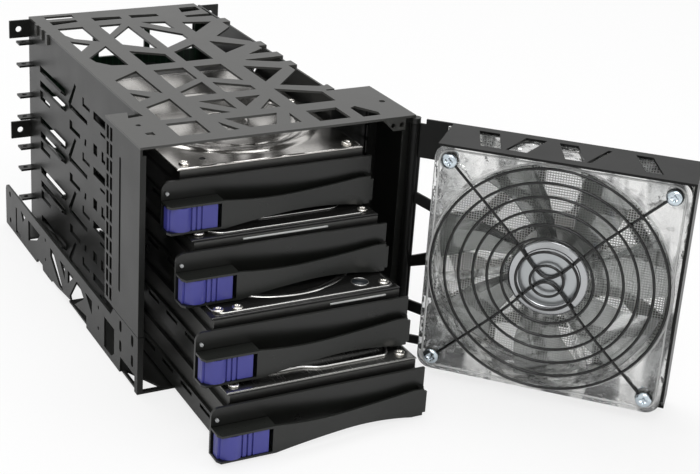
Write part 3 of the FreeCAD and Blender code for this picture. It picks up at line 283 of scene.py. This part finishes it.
tray_numbers = (1, 2, 3, 4)
dress(powder_coat("tray_black", (0.007, 0.0075, 0.0065), rough=0.30), *on_trays("frame"))


# ------------------------------------------------------------------ backplane at the rear
# A green fibre board with black moulded sockets towards the drives and ports towards the rear.
# It is routed out between its sockets and above them, so that air passes through it.
mm = 0.001


def moulded(name, colour, rough, grain=0.00003):
    """Moulded plastic: faint cloudiness and a fine spark-eroded bump as deep as grain."""
    shade = Shade(name)
    coords = shade.place()
    grit = shade.noise(coords, 900.0, 2.0)
    cloud = shade.noise(coords, 60.0, 2.0)
    shade.set(Base_Color=shade.blend(cloud, *shades_of(colour, 0.12)),
              Roughness=rough + 0.03 * (grit - 0.5))
    return shade.bump(grit, grain, 0.5).material


def corners_of(node):
    """A CAD node's lowest and highest corners, as arrays in metres."""
    return [np.array(corner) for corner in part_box(node)]


def grid_faces(rows, cols):
    """The quads of an open grid of points, rows by cols, turned anticlockwise."""
    index = np.arange(rows * cols).reshape(rows, cols)
    return np.stack([index[:-1, :-1], index[:-1, 1:], index[1:, 1:], index[1:, :-1]], -1)


def give_wall(piece, thick):
    """Thickness of a sheet, grown from its drawn face to the side away from its normals."""
    wall = piece.modifiers.new("sheet", "SOLIDIFY")
    wall.thickness, wall.offset = thick, -1.0


def routed(name, lines_x, lines_z, openings, front, thick):
    """A flat sheet on the grid of the given lines, without the cells whose middle lies in an
    opening (x0, x1, z0, z1), given its thickness by Solidify; lengths in mm."""
    x, z = np.meshgrid(lines_x, lines_z)
    mid_x, mid_z = (x[:-1, :-1] + x[1:, 1:]) / 2, (z[:-1, :-1] + z[1:, 1:]) / 2
    x0, x1, z0, z1 = np.asarray(openings, dtype=float).T[:, :, None, None]
    cut_out = ((mid_x > x0) & (mid_x < x1) & (mid_z > z0) & (mid_z < z1)).any(axis=0)
    mesh = bpy.data.meshes.new(name)
    points = np.stack([x, np.full(x.shape, front), z], -1).reshape(-1, 3) * mm
    mesh.from_pydata(points.tolist(), [], grid_faces(*x.shape)[~cut_out].tolist())
    build = bmesh.new()
    build.from_mesh(mesh)
    bmesh.ops.delete(build, geom=[point for point in build.verts if not point.link_faces], context="VERTS")
    build.to_mesh(mesh)
    build.free()
    made = bpy.data.objects.new(name, mesh)
    scene.collection.objects.link(made)
    give_wall(made, thick * mm)
    return made


dress(moulded("socket_black", (0.02, 0.02, 0.02), rough=0.45), "backplane_sockets", "backplane_ports")
tracks_per_metre, rows_per_metre = 260.0, 31.0
track_limit, row_limit = 0.42, 0.2
board = Shade("board_green")
board_x, _, board_z = board.split(board.place())
track = abs((board_x * tracks_per_metre).fract() - 0.5).above(track_limit)
row = abs((board_z * rows_per_metre).fract() - 0.5).above(row_limit)
board_dark, board_light = (0.006, 0.020, 0.010, 1.0), (0.012, 0.045, 0.020, 1.0)
board.set(Base_Color=board.blend(track * row, board_dark, board_light), Roughness=0.35)
dress(board.material, "backplane_board")

board_low, board_high = (corner / mm for corner in corners_of("backplane_board"))
columns = [(-50.0, -36.0), (-13.0, 7.0), (35.0, 45.5)]
levels = [(16.5, 32.5), (48.0, 60.0), (74.0, 81.0)]
top_row, top_level = [(-50.0, -20.0), (-16.5, 12.5), (16.0, 45.5)], (103.0, 122.5)
openings = [pair + level for pair in columns for level in levels]
openings += [pair + top_level for pair in top_row]
lines_x = sorted({board_low[0], board_high[0]}.union(*columns, *top_row))
lines_z = sorted({board_low[2], board_high[2]}.union(*levels, top_level))
board_piece = routed("board_routed", lines_x, lines_z, openings, front=board_low[1],
                     thick=board_high[1] - board_low[1])
board_piece.data.materials.append(board.material)
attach(board_piece, "cage")
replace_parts(board_piece, "backplane_board")


# ------------------------------------------------------------------ tray handles and latch buttons
# Injection-moulded handles in satin black, pinned at their right end to the tray, with a blue
# button that slides between the lips of the left end.
dress(moulded("handle_black", (0.008, 0.009, 0.0075), rough=0.28, grain=0.000006), *on_trays("handle"))
dress(moulded("button_blue", (0.052, 0.054, 0.290), rough=0.32, grain=0.00002), *on_trays("button"))


# ------------------------------------------------------------------ light pins
# A slim rod of clear plastic with a domed end, pushed into the tray's face above the button. It
# brings the light of the backplane's lamp to the front.
def finish_piece(name, points, faces, material, body, closed=True):
    """A smooth mesh object from point and face arrays, which rides on a body.
    A closed shell gets its doubled points merged and its faces turned outwards."""
    mesh = bpy.data.meshes.new(name)
    mesh.from_pydata(points.tolist(), [], faces.tolist())
    if closed:
        build = bmesh.new()
        build.from_mesh(mesh)
        bmesh.ops.remove_doubles(build, verts=build.verts, dist=1e-6)
        bmesh.ops.recalc_face_normals(build, faces=build.faces)
        build.to_mesh(mesh)
        build.free()
    mesh.polygons.foreach_set("use_smooth", np.ones(len(mesh.polygons), dtype=bool))
    mesh.materials.append(material)
    made = bpy.data.objects.new(name, mesh)
    scene.collection.objects.link(made)
    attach(made, body)
    return made


def shell(name, grids, material, body):
    """Closed shells from (points, looped) grids: the columns of each always join round, the rows
    join too where looped, and a row drawn in to one point closes an end."""
    corners, quads, start = [], [], 0
    for points, looped in grids:
        rows, cols = points.shape[:2]
        index = np.arange(rows * cols).reshape(rows, cols) + start
        low, high = (index, np.roll(index, -1, 0)) if looped else (index[:-1], index[1:])
        quads.append(np.stack([low, np.roll(low, -1, 1), np.roll(high, -1, 1), high], -1).reshape(-1, 4))
        corners.append(points.reshape(-1, 3))
        start += rows * cols
    return finish_piece(name, np.concatenate(corners), np.concatenate(quads), material, body)


def lathe(profile, centre, out, steps, star=0.0, lobes=6, starred=()):
    """A profile of (radius, height) in mm turned about the axis out through centre: the point at
    angle a is centre + radius (cos a, sin a) across the axis + height along it. The rows in
    starred have their radius waved by star cos(lobes a)."""
    profile = np.asarray(profile, dtype=float) * mm
    out = np.asarray(out, dtype=float)
    side = np.cross(out, (0.0, 0.0, 1.0)) if abs(out[2]) < 0.9 else np.array((1.0, 0.0, 0.0))
    side = side / np.linalg.norm(side)
    third = np.cross(out, side)
    angle = np.linspace(0.0, 2.0 * np.pi, steps, endpoint=False)
    radius = np.repeat(profile[:, :1], steps, axis=1)
    if len(starred):
        radius[list(starred)] *= 1.0 + star * np.cos(lobes * angle)
    ring = np.cos(angle)[:, None] * side + np.sin(angle)[:, None] * third
    return np.asarray(centre) + radius[..., None] * ring + profile[:, 1][:, None, None] * out


pin_profile = [(0, -0.9), (0.85, -0.9), (0.85, 0.55), (0.6, 0.8), (0, 0.9)]
clear_pin = Shade("light_pipe_clear")
pin_cloud = clear_pin.noise(clear_pin.place(), 900.0, 2.0)
pin_dark, pin_light = (0.34, 0.35, 0.36, 1.0), (0.46, 0.47, 0.47, 1.0)
clear_pin.set(Base_Color=clear_pin.blend(pin_cloud, pin_dark, pin_light), Roughness=0.15)
for number in tray_numbers:
    rod = lathe(pin_profile, sum(corners_of("tray_%d_light" % number)) / 2, (0, -1, 0), 32)
    pin = shell("light_pin_%d" % number, [(rod, False)], clear_pin.material,
                "tray_%d" % number)
    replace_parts(pin, "tray_%d_light" % number)


# ------------------------------------------------------------------ drive bodies
# Four hard drives of different makes: dark boxes of cast aluminium, each one screwed between the
# sides of its tray.
def metal(name, colour, rough):
    """Bare metal, cloudy in colour, with fine rolling streaks along Y in roughness and bump."""
    shade = Shade(name)
    coords = shade.place()
    drawn_out = shade.node("Mapping", None, coords, Scale=(1.0, 0.06, 1.0))
    streak = shade.node("TexNoise", None, Vector=drawn_out, Scale=1320.0, Detail=2.0)
    cloud = shade.noise(coords, 30.0, 3.0)
    dark = tuple(c * 0.86 for c in colour) + (1.0,)
    light = tuple(min(1.0, c * 1.08) for c in colour) + (1.0,)
    shade.set(Base_Color=shade.blend(cloud, dark, light), Metallic=1.0,
              Roughness=rough + 0.08 * (streak - 0.5))
    return shade.bump(streak, 0.00001, 0.3).material


dress(metal("drive_cast", (0.10, 0.10, 0.096), rough=0.40), *on_trays("drive"))


# ------------------------------------------------------------------ drive lids
# Thin pressed sheet screwed on the cast bodies, each with its own raised form: a bright one with
# a wide stepped ring, two black ones, and a dull silver one with a raised plate. Lengths in mm
# from the drive's front left corner.
def rise(depth, width):
    """Smooth step: 0 at depth 0, 1 at depth width, 3t^2 - 2t^3 between."""
    part = np.clip(depth / width, 0.0, 1.0)
    return part * part * (3.0 - 2.0 * part)


def inside(x, y, corners):
    """Depth inside a convex outline with its corners anticlockwise: the least of the distances
    in from its sides."""
    start = np.asarray(corners, dtype=float)
    run = np.roll(start, -1, 0) - start
    run = run / np.linalg.norm(run, axis=1, keepdims=True)
    run_x, run_y = run[:, 0, None, None], run[:, 1, None, None]
    depth = run_x * (y - start[:, 1, None, None]) - run_y * (x - start[:, 0, None, None])
    return depth.min(axis=0)


lid_inset = np.array((1.0, 0.8, -0.8))
lid_sheet, edge_drop, edge_round = 0.6, 0.4, 0.9
lid_points_across, lid_points_deep = 171, 211


def lid_corner(number):
    """The drive's front left corner at the level of its lid's flat, in metres."""
    return corners_of("tray_%d_cover" % number)[0] - lid_inset * mm


def lid(number, height, material):
    """Pressed lid: z = lid level + height(x, y) - a small drop at the rim, as a grid sheet."""
    low, high = corners_of("tray_%d_cover" % number)
    corner = lid_corner(number)
    x, y = np.meshgrid(np.linspace(low[0], high[0], lid_points_across),
                       np.linspace(low[1], high[1], lid_points_deep))
    edge = np.minimum(np.minimum(x - low[0], high[0] - x), np.minimum(y - low[1], high[1] - y)) / mm
    rim_drop = edge_drop * (1.0 - rise(edge, edge_round))
    z = corner[2] + mm * (height((x - corner[0]) / mm, (y - corner[1]) / mm) - rim_drop)
    made = finish_piece("drive_lid_%d" % number, np.stack([x, y, z], -1).reshape(-1, 3),
                        grid_faces(*x.shape).reshape(-1, 4), material, "tray_%d" % number,
                        closed=False)
    give_wall(made, lid_sheet * mm)
    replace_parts(made, "tray_%d_cover" % number)


hub_x, hub_y = 49.8, 56.0
plate_1 = [(9, 72), (86, 72), (92, 80), (92, 128), (84, 135), (16, 135), (9, 128)]
outer_2 = [(17, 4.0), (94, 4.0), (98, 9.0), (98, 134), (4, 134), (4, 17)]
inner_2 = [(40, 13), (84, 13), (93, 24), (93, 108), (80, 122), (22, 122), (12, 108), (12, 36)]
outer_3 = [(7, 3.6), (98, 3.6), (98, 134), (4, 134), (4, 8)]
plate_4 = [(16, 15), (30, 11), (44, 11), (52, 7.5), (88, 7.5), (94, 22), (94, 117), (72, 134),
           (22, 134), (8, 107), (8, 24)]
cover_bright = metal("cover_bright", (0.70, 0.68, 0.65), rough=0.20)
cover_silver = metal("cover_silver", (0.26, 0.26, 0.25), rough=0.26)
cover_black = powder_coat("cover_black", (0.010, 0.010, 0.0095), rough=0.20, grain=0.00001)


def ring_lid(x, y):
    """A wide ring that steps down inwards, a sunk middle, and a raised plate behind it."""
    radius = np.hypot(x - hub_x, y - hub_y)
    ring = (0.95 * rise(48.0 - radius, 4.6) - 0.50 * rise(43.0 - radius, 4.2)
            + 0.30 * rise(37.5 - radius, 1.4) - 0.5 * rise(12.0 - radius, 1.2))
    return np.maximum(ring, 0.8 * rise(inside(x, y, plate_1), 2.2))


def stepped_lid(x, y):
    """Two flats, one on the other."""
    return 0.35 * rise(inside(x, y, outer_2), 0.9) + 0.6 * rise(inside(x, y, inner_2), 1.4)


def dished_lid(x, y):
    """One raised flat with a round dish sunk in it."""
    radius = np.hypot(x - hub_x, y - hub_y)
    return 0.55 * rise(inside(x, y, outer_3), 0.9) - 0.5 * rise(46.0 - radius, 1.6)


def plated_lid(x, y):
    """A raised plate with cut corners and a shallow round dish."""
    radius = np.hypot(x - hub_x, y - 70.0)
    return 0.9 * rise(inside(x, y, plate_4), 4.0) - 0.35 * rise(34.0 - radius, 2.0)


lid(1, ring_lid, cover_bright)
lid(2, stepped_lid, cover_black)
lid(3, dished_lid, cover_black)
lid(4, plated_lid, cover_silver)


# ------------------------------------------------------------------ bright edges of the lids, partly painted highlight
# A fine bead of bright metal runs round each raised form, as a bright line where the sheet is cut or
# folded: partly bare metal at the edge, partly painted highlight where the fold catches the light.
# Round the third lid's dish it is a flat ring.
def tube(path, radius, across, looped=False, sides=10):
    """A round wire along a path: at each point a circle across the path, drawn on the axes
    n = across x tangent and b = tangent x n; open ends are drawn in to a point."""
    path = np.asarray(path, dtype=float)
    if looped:
        along = np.roll(path, -1, 0) - np.roll(path, 1, 0)
    else:
        along = np.gradient(path, axis=0)
    along = along / np.linalg.norm(along, axis=1, keepdims=True)
    normal = np.cross(np.asarray(across, dtype=float), along)
    normal = normal / np.linalg.norm(normal, axis=1, keepdims=True)
    other = np.cross(along, normal)
    angle = np.linspace(0.0, 2.0 * np.pi, sides, endpoint=False)
    circle = np.cos(angle)[:, None] * normal[:, None] + np.sin(angle)[:, None] * other[:, None]
    grid = path[:, None] + radius * circle
    if looped:
        return grid
    ends = [np.repeat(path[at][None, None], sides, axis=1) for at in (0, -1)]
    return np.concatenate([ends[0], grid, ends[1]])


def rounded(corners, radius, steps=9):
    """A closed outline with each corner eased: P + (1-t)^2 r a + t^2 r b, where a and b point from
    the corner P to its neighbours."""
    at = np.asarray(corners, dtype=float)
    before, after = np.roll(at, 1, 0) - at, np.roll(at, -1, 0) - at
    before = before / np.linalg.norm(before, axis=1, keepdims=True)
    after = after / np.linalg.norm(after, axis=1, keepdims=True)
    part = np.linspace(0.0, 1.0, steps)[None, :, None]
    eased = (1 - part) ** 2 * before[:, None] + part ** 2 * after[:, None]
    return (at[:, None] + radius * eased).reshape(-1, 2)


def rim(name, number, corners, radius, height, wire):
    """Bright cut edge, partly painted highlight: a fine bead carried round an eased outline on a lid;
    lengths in mm.
    """
    flat = rounded(corners, radius)
    path = lid_corner(number) + np.column_stack([flat, np.full(len(flat), height)]) * mm
    bead = tube(path, wire * mm, (0, 0, 1), looped=True, sides=8)
    shell(name, [(bead, True)], bright_metal_and_highlight, "tray_%d" % number)


# Partly painted highlight: bright metal for the fine lines along the lids' folds; the dish ring and the
# seal's rim use it too.
bright_metal_and_highlight = metal("bright_metal_and_highlight", (0.80, 0.79, 0.77), rough=0.20)
rim("lid_edge_2", 2, outer_2, radius=3.5, height=0.22, wire=0.34)
rim("lid_step_2", 2, inner_2, radius=6.0, height=0.70, wire=0.30)
rim("lid_edge_3", 3, outer_3, radius=3.0, height=0.30, wire=0.36)
rim("lid_edge_4", 4, plate_4, radius=3.0, height=0.50, wire=0.62)
dish_profile = [(42.8, 0.02), (43.6, 0.40), (44.8, 0.70), (46.4, 0.82), (47.3, 0.72), (47.2, 0.02)]
dish_ring = lathe(dish_profile, lid_corner(3) + np.array([hub_x, hub_y, 0.0]) * mm, (0, 0, 1), 160)
shell("lid_ring_3", [(dish_ring, True)], bright_metal_and_highlight, "tray_3")


# ------------------------------------------------------------------ seal and breather
# The third lid has a round grey seal with a light rim beside its right-hand screw. The first
# has a small dark breather ring beside its left-hand screw.
seal_grey = moulded("seal_grey", (0.012, 0.016, 0.020), rough=0.38, grain=0.00001)
seal_at = lid_corner(3) + np.array([84.0, 11.4, 0.55]) * mm
seal_profile = [(0, 0), (3.9, 0), (3.9, 0.22), (0, 0.22)]
seal_rim_profile = [(3.9, 0), (4.5, 0), (4.4, 0.3), (4.0, 0.3)]
breather_at = lid_corner(1) + np.array([18.0, 10.8, 0.0]) * mm
breather_profile = [(0, 0), (1.5, 0), (1.5, 0.08), (0.9, 0.08), (0.7, 0.03), (0, 0.03)]
seal = lathe(seal_profile, seal_at, (0, 0, 1), 48)
seal_rim = lathe(seal_rim_profile, seal_at, (0, 0, 1), 48)
breather = lathe(breather_profile, breather_at, (0, 0, 1), 32)
shell("lid_seal_3", [(seal, False)], seal_grey, "tray_3")
shell("lid_seal_rim_3", [(seal_rim, True)], bright_metal_and_highlight, "tray_3")
shell("lid_breather_1", [(breather, False)], cover_black, "tray_1")


# ------------------------------------------------------------------ lid screws
# Zinc-plated pan heads with a six-lobed recess, driven through the lid into the cast body at its
# corners and the middle of its long sides. The third drive has one more at the front left.
screw_zinc = metal("screw_zinc", (0.80, 0.77, 0.72), rough=0.20)
drive_wide, drive_long = 101.6, 147.0
screw_places = [(7, 7), (drive_wide - 7, 7), (5, drive_long / 2), (drive_wide - 5, drive_long / 2),
                (7, drive_long - 14), (drive_wide - 7, drive_long - 14)]
more_places = {3: [(16.5, 6.5)]}
flat_height = {1: 0.0, 2: 0.25, 3: 0.5, 4: 0.0}
head_profile = [(0, 0), (2.7, 0), (2.7, 0.55), (2.45, 0.85), (1.9, 1.0), (1.35, 1.0), (1.2, 0.45),
                (0, 0.45)]
for number in tray_numbers:
    places = [lid_corner(number) + np.array([place_x, place_y, flat_height[number]]) * mm
              for place_x, place_y in screw_places + more_places.get(number, [])]
    heads = [(lathe(head_profile, place, (0, 0, 1), 36, star=0.15, lobes=6, starred=(5, 6)), False)
             for place in places]
    screws = shell("lid_screws_%d" % number, heads, screw_zinc, "tray_%d" % number)
    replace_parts(screws, "tray_%d_screws" % number)


# ------------------------------------------------------------------ strips on the drives' fronts
# A bare pale strip stuck along the front of the second and third drives, just under the lid.
strip_pale = moulded("strip_pale", (0.55, 0.56, 0.55), rough=0.5, grain=0.00002)
strip_under_top, strip_proud, strip_radius, strip_points = 1.6, 0.1, 0.5, 24
for number, first, last in ((2, 27.0, 72.0), (3, 62.0, 92.0)):
    low, high = corners_of("tray_%d_drive" % number)
    path = np.column_stack([low[0] + np.linspace(first, last, strip_points) * mm,
                            np.full(strip_points, low[1] - strip_proud * mm),
                            np.full(strip_points, high[2] - strip_under_top * mm)])
    shell("front_strip_%d" % number, [(tube(path, strip_radius * mm, (0, 0, 1)), False)], strip_pale,
          "tray_%d" % number)


# ------------------------------------------------------------------ door panel
# A pressed and folded steel skin with an irregular grille, coated like the cage but duller, which
# hangs on the hinge pins at the cage's front right corner and stands open.
door_turn = math.radians(-45.3)
hinge_place = np.array((0.073, 0.0, 0.0))
door_out = np.array((math.cos(door_turn), math.sin(door_turn), 0.0))
door_deep = np.array((-math.sin(door_turn), math.cos(door_turn), 0.0))
door_up = np.array((0.0, 0.0, 1.0))
dress(powder_coat("door_black", (0.005, 0.0052, 0.0048), rough=0.40, shine=0.20), "door_panel")


# ------------------------------------------------------------------ dust filter
# Pale woven mesh held between the door's grille and the fan: square holes between crossed
# threads, drawn across the door's own directions.
mesh_pitch, hole_half = 1.3, 0.315
weave = Shade("filter_weave")
thread_out, _, thread_up = weave.split(weave.place(-door_turn, tuple(hinge_place)))
warp = abs((thread_out / (mesh_pitch * mm)).fract() - 0.5)
weft = abs((thread_up / (mesh_pitch * mm)).fract() - 0.5)
yarn = weave.noise(weave.place(), 40.0, 2.0)
weave.set(Base_Color=weave.blend(yarn, (0.80, 0.80, 0.78, 1.0), (0.98, 0.98, 0.96, 1.0)),
          Roughness=0.5, Alpha=warp.most(weft).above(hole_half))
dress(weave.material, "door_filter")


# ------------------------------------------------------------------ clear fan frame
# The fan's square frame with its round duct, injection-moulded in clear plastic. Its faces
# ripple slightly, and bright slanting streaks are painted on them: painted glints of whiter,
# partly metallic colour that stand in for reflections.
fan_out, fan_high = 0.077, 0.066
fan_centre = hinge_place + fan_out * door_out + fan_high * door_up
clear = Shade("fan_clear")
haze = clear.noise(clear.place(), 120.0, 3.0)
ripple = clear.noise(clear.place(), 55.0, 2.0)
clear.bump(ripple + 0.35 * haze, 0.0045, 1.0)
glint_slant, glint_contrast, glint_level = math.radians(38.0), 11.0, 0.42
slant = clear.node("Mapping", None, clear.place(-door_turn, tuple(fan_centre)),
                   Rotation=(0.0, glint_slant, 0.0), Scale=(1.0, 1.0, 0.28))
streak = clear.node("TexNoise", None, Vector=slant, Scale=62.0, Detail=2.5, Roughness=0.45,
                    Distortion=1.1)
# Painted glints: slanting streaks of whiter, partly metallic colour stand in for the frame's reflections.
painted_glint = ((streak - 0.5) * glint_contrast + glint_level).most(0.0).least(1.0)
clear.set(Base_Color=clear.blend(painted_glint, (0.86, 0.87, 0.87, 1.0), (1.0, 1.0, 0.99, 1.0)),
          Metallic=0.62 * painted_glint, Transmission_Weight=0.93, IOR=1.45, Roughness=0.02 + 0.06 * haze,
          Coat_Weight=1.0)
dress(clear.material, "fan_frame")


# ------------------------------------------------------------------ rotor and its hub
# Clear moulded blades and hub in one piece. A polished metal ring is pressed on the hub's front
# round a bare pale disc.
blade_clear = Shade("blade_clear")
blade_haze = blade_clear.noise(blade_clear.place(), 160.0, 3.0)
blade_dark, blade_light = (0.44, 0.46, 0.45, 1.0), (0.68, 0.69, 0.68, 1.0)
blade_clear.set(Base_Color=blade_clear.blend(blade_haze, blade_dark, blade_light),
                Transmission_Weight=0.90, IOR=1.45, Roughness=0.04 + 0.08 * blade_haze,
                Coat_Weight=0.8)
dress(blade_clear.material, "fan_rotor")
hub_front = 0.02532
hub_face = fan_centre - hub_front * door_deep
hub_ring_profile = [(14.0, 0), (14.2, 0.55), (15.0, 0.95), (16.4, 0.90), (17.2, 0.60), (18.4, 0.62),
                    (19.2, 0.35), (19.3, 0)]
hub_disc_profile = [(0, 0), (14.1, 0), (14.1, 0.30), (13.6, 0.42), (0, 0.42)]
shell("hub_ring", [(lathe(hub_ring_profile, hub_face, -door_deep, 128), True)],
      metal("hub_chrome", (0.47, 0.48, 0.49), rough=0.20), "rotor")
shell("hub_disc", [(lathe(hub_disc_profile, hub_face, -door_deep, 96), False)],
      metal("hub_disc", (0.44, 0.46, 0.47), rough=0.30), "rotor")


# ------------------------------------------------------------------ wire guard
# Eight rings of steel wire welded on two bent cross wires, with a loop round each corner screw,
# all in gloss black. Lengths in mm on the fan's own axes.
def on_fan(x, y, z):
    """Points of the fan's own axes: x out from its centre, y deep into the door, z up."""
    x, y, z = (part * mm for part in np.broadcast_arrays(x, y, z))
    return fan_centre + x[..., None] * door_out + y[..., None] * door_deep + z[..., None] * door_up


def circle_on_fan(x, y, z, radius, steps):
    """A circle round (x, z) at depth y."""
    angle = np.linspace(0.0, 2.0 * np.pi, steps, endpoint=False)
    return on_fan(x + radius * np.cos(angle), y, z + radius * np.sin(angle))


wire_radius, cross_depth, ring_depth = 0.68, -27.35, -28.71
first_ring, ring_pitch, ring_count = 8.0, 7.0, 8
screw_reach, loop_radius, cross_reach = 52.5, 3.4, 50.1
cross_gap, pinch, pinch_reach = 7.0, 5.8, 14.0
both_sides = (-1, 1)
screw_signs = [(x_side, z_side) for x_side in both_sides for z_side in both_sides]
rings = [circle_on_fan(0.0, ring_depth, 0.0, first_ring + ring_pitch * ring, 160)
         for ring in range(ring_count)]
spread = np.linspace(-cross_reach, cross_reach, 81)
bend = np.hypot(spread, cross_gap) - pinch * np.exp(-(spread / pinch_reach) ** 2)
crosses = [on_fan(spread, cross_depth, side * bend) for side in both_sides]
loops = [circle_on_fan(x_side * screw_reach, cross_depth, z_side * screw_reach, loop_radius, 40)
         for x_side, z_side in screw_signs]
wires = [(tube(path, wire_radius * mm, door_deep, looped), looped)
         for paths, looped in ((rings, True), (crosses, False), (loops, True)) for path in paths]
wire_black = powder_coat("wire_black", (0.005, 0.005, 0.005), rough=0.14, grain=0.000004)
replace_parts(shell("guard_wires", wires, wire_black, "door"), "fan_guard")


# ------------------------------------------------------------------ beads of the fan frame, painted highlights
# Raised beads on the clear frame's front: one just inside its edge and one round the mouth of the
# duct. Their plastic is whiter and only half clear: painted highlights, fine bright lines that stand
# in for the light the frame's edges catch.
# Painted highlight: the beads' plastic is whiter and less clear than the frame's.
bead_painted_highlight = Shade("bead_painted_highlight")
bead_haze = bead_painted_highlight.noise(bead_painted_highlight.place(), 220.0, 2.0)
bead_painted_highlight.set(Base_Color=bead_painted_highlight.blend(bead_haze, (0.86, 0.87, 0.87, 1.0), (1.0, 1.0, 0.99, 1.0)),
               Transmission_Weight=0.45, IOR=1.45, Roughness=0.05 + 0.08 * bead_haze,
               Coat_Weight=1.0)
edge_reach, edge_ease, edge_bead, edge_depth = 57.6, 7.0, 0.55, -26.55
mouth_radius, mouth_bead, mouth_depth = 58.6, 0.50, -26.50
square = rounded([(-edge_reach, -edge_reach), (edge_reach, -edge_reach), (edge_reach, edge_reach),
                  (-edge_reach, edge_reach)], edge_ease)
bead_paths = [(on_fan(square[:, 0], edge_depth, square[:, 1]), edge_bead),
              (circle_on_fan(0.0, mouth_depth, 0.0, mouth_radius, 160), mouth_bead)]
beads = [(tube(path, bead * mm, door_deep, looped=True, sides=8), True) for path, bead in bead_paths]
shell("frame_highlight_beads", beads, bead_painted_highlight.material, "door")


# ------------------------------------------------------------------ fan screws
# Zinc-plated, bluish cross-recessed screws, driven through the guard's loops into the frame's
# corners.
screw_steel = metal("screw_steel", (0.66, 0.74, 0.80), rough=0.20)
cross_profile = [(0, 0), (3.9, 0), (3.9, 0.5), (3.4, 1.2), (2.6, 1.6), (1.5, 1.75), (1.2, 0.7),
                 (0, 0.7)]
head_depth = -28.2
places = [on_fan(x_side * screw_reach, head_depth, z_side * screw_reach) for x_side, z_side in screw_signs]
heads = [(lathe(cross_profile, place, -door_deep, 48, star=0.42, lobes=4, starred=(5, 6)), False)
         for place in places]
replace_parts(shell("fan_screw_heads", heads, screw_steel, "door"), "fan_screws")
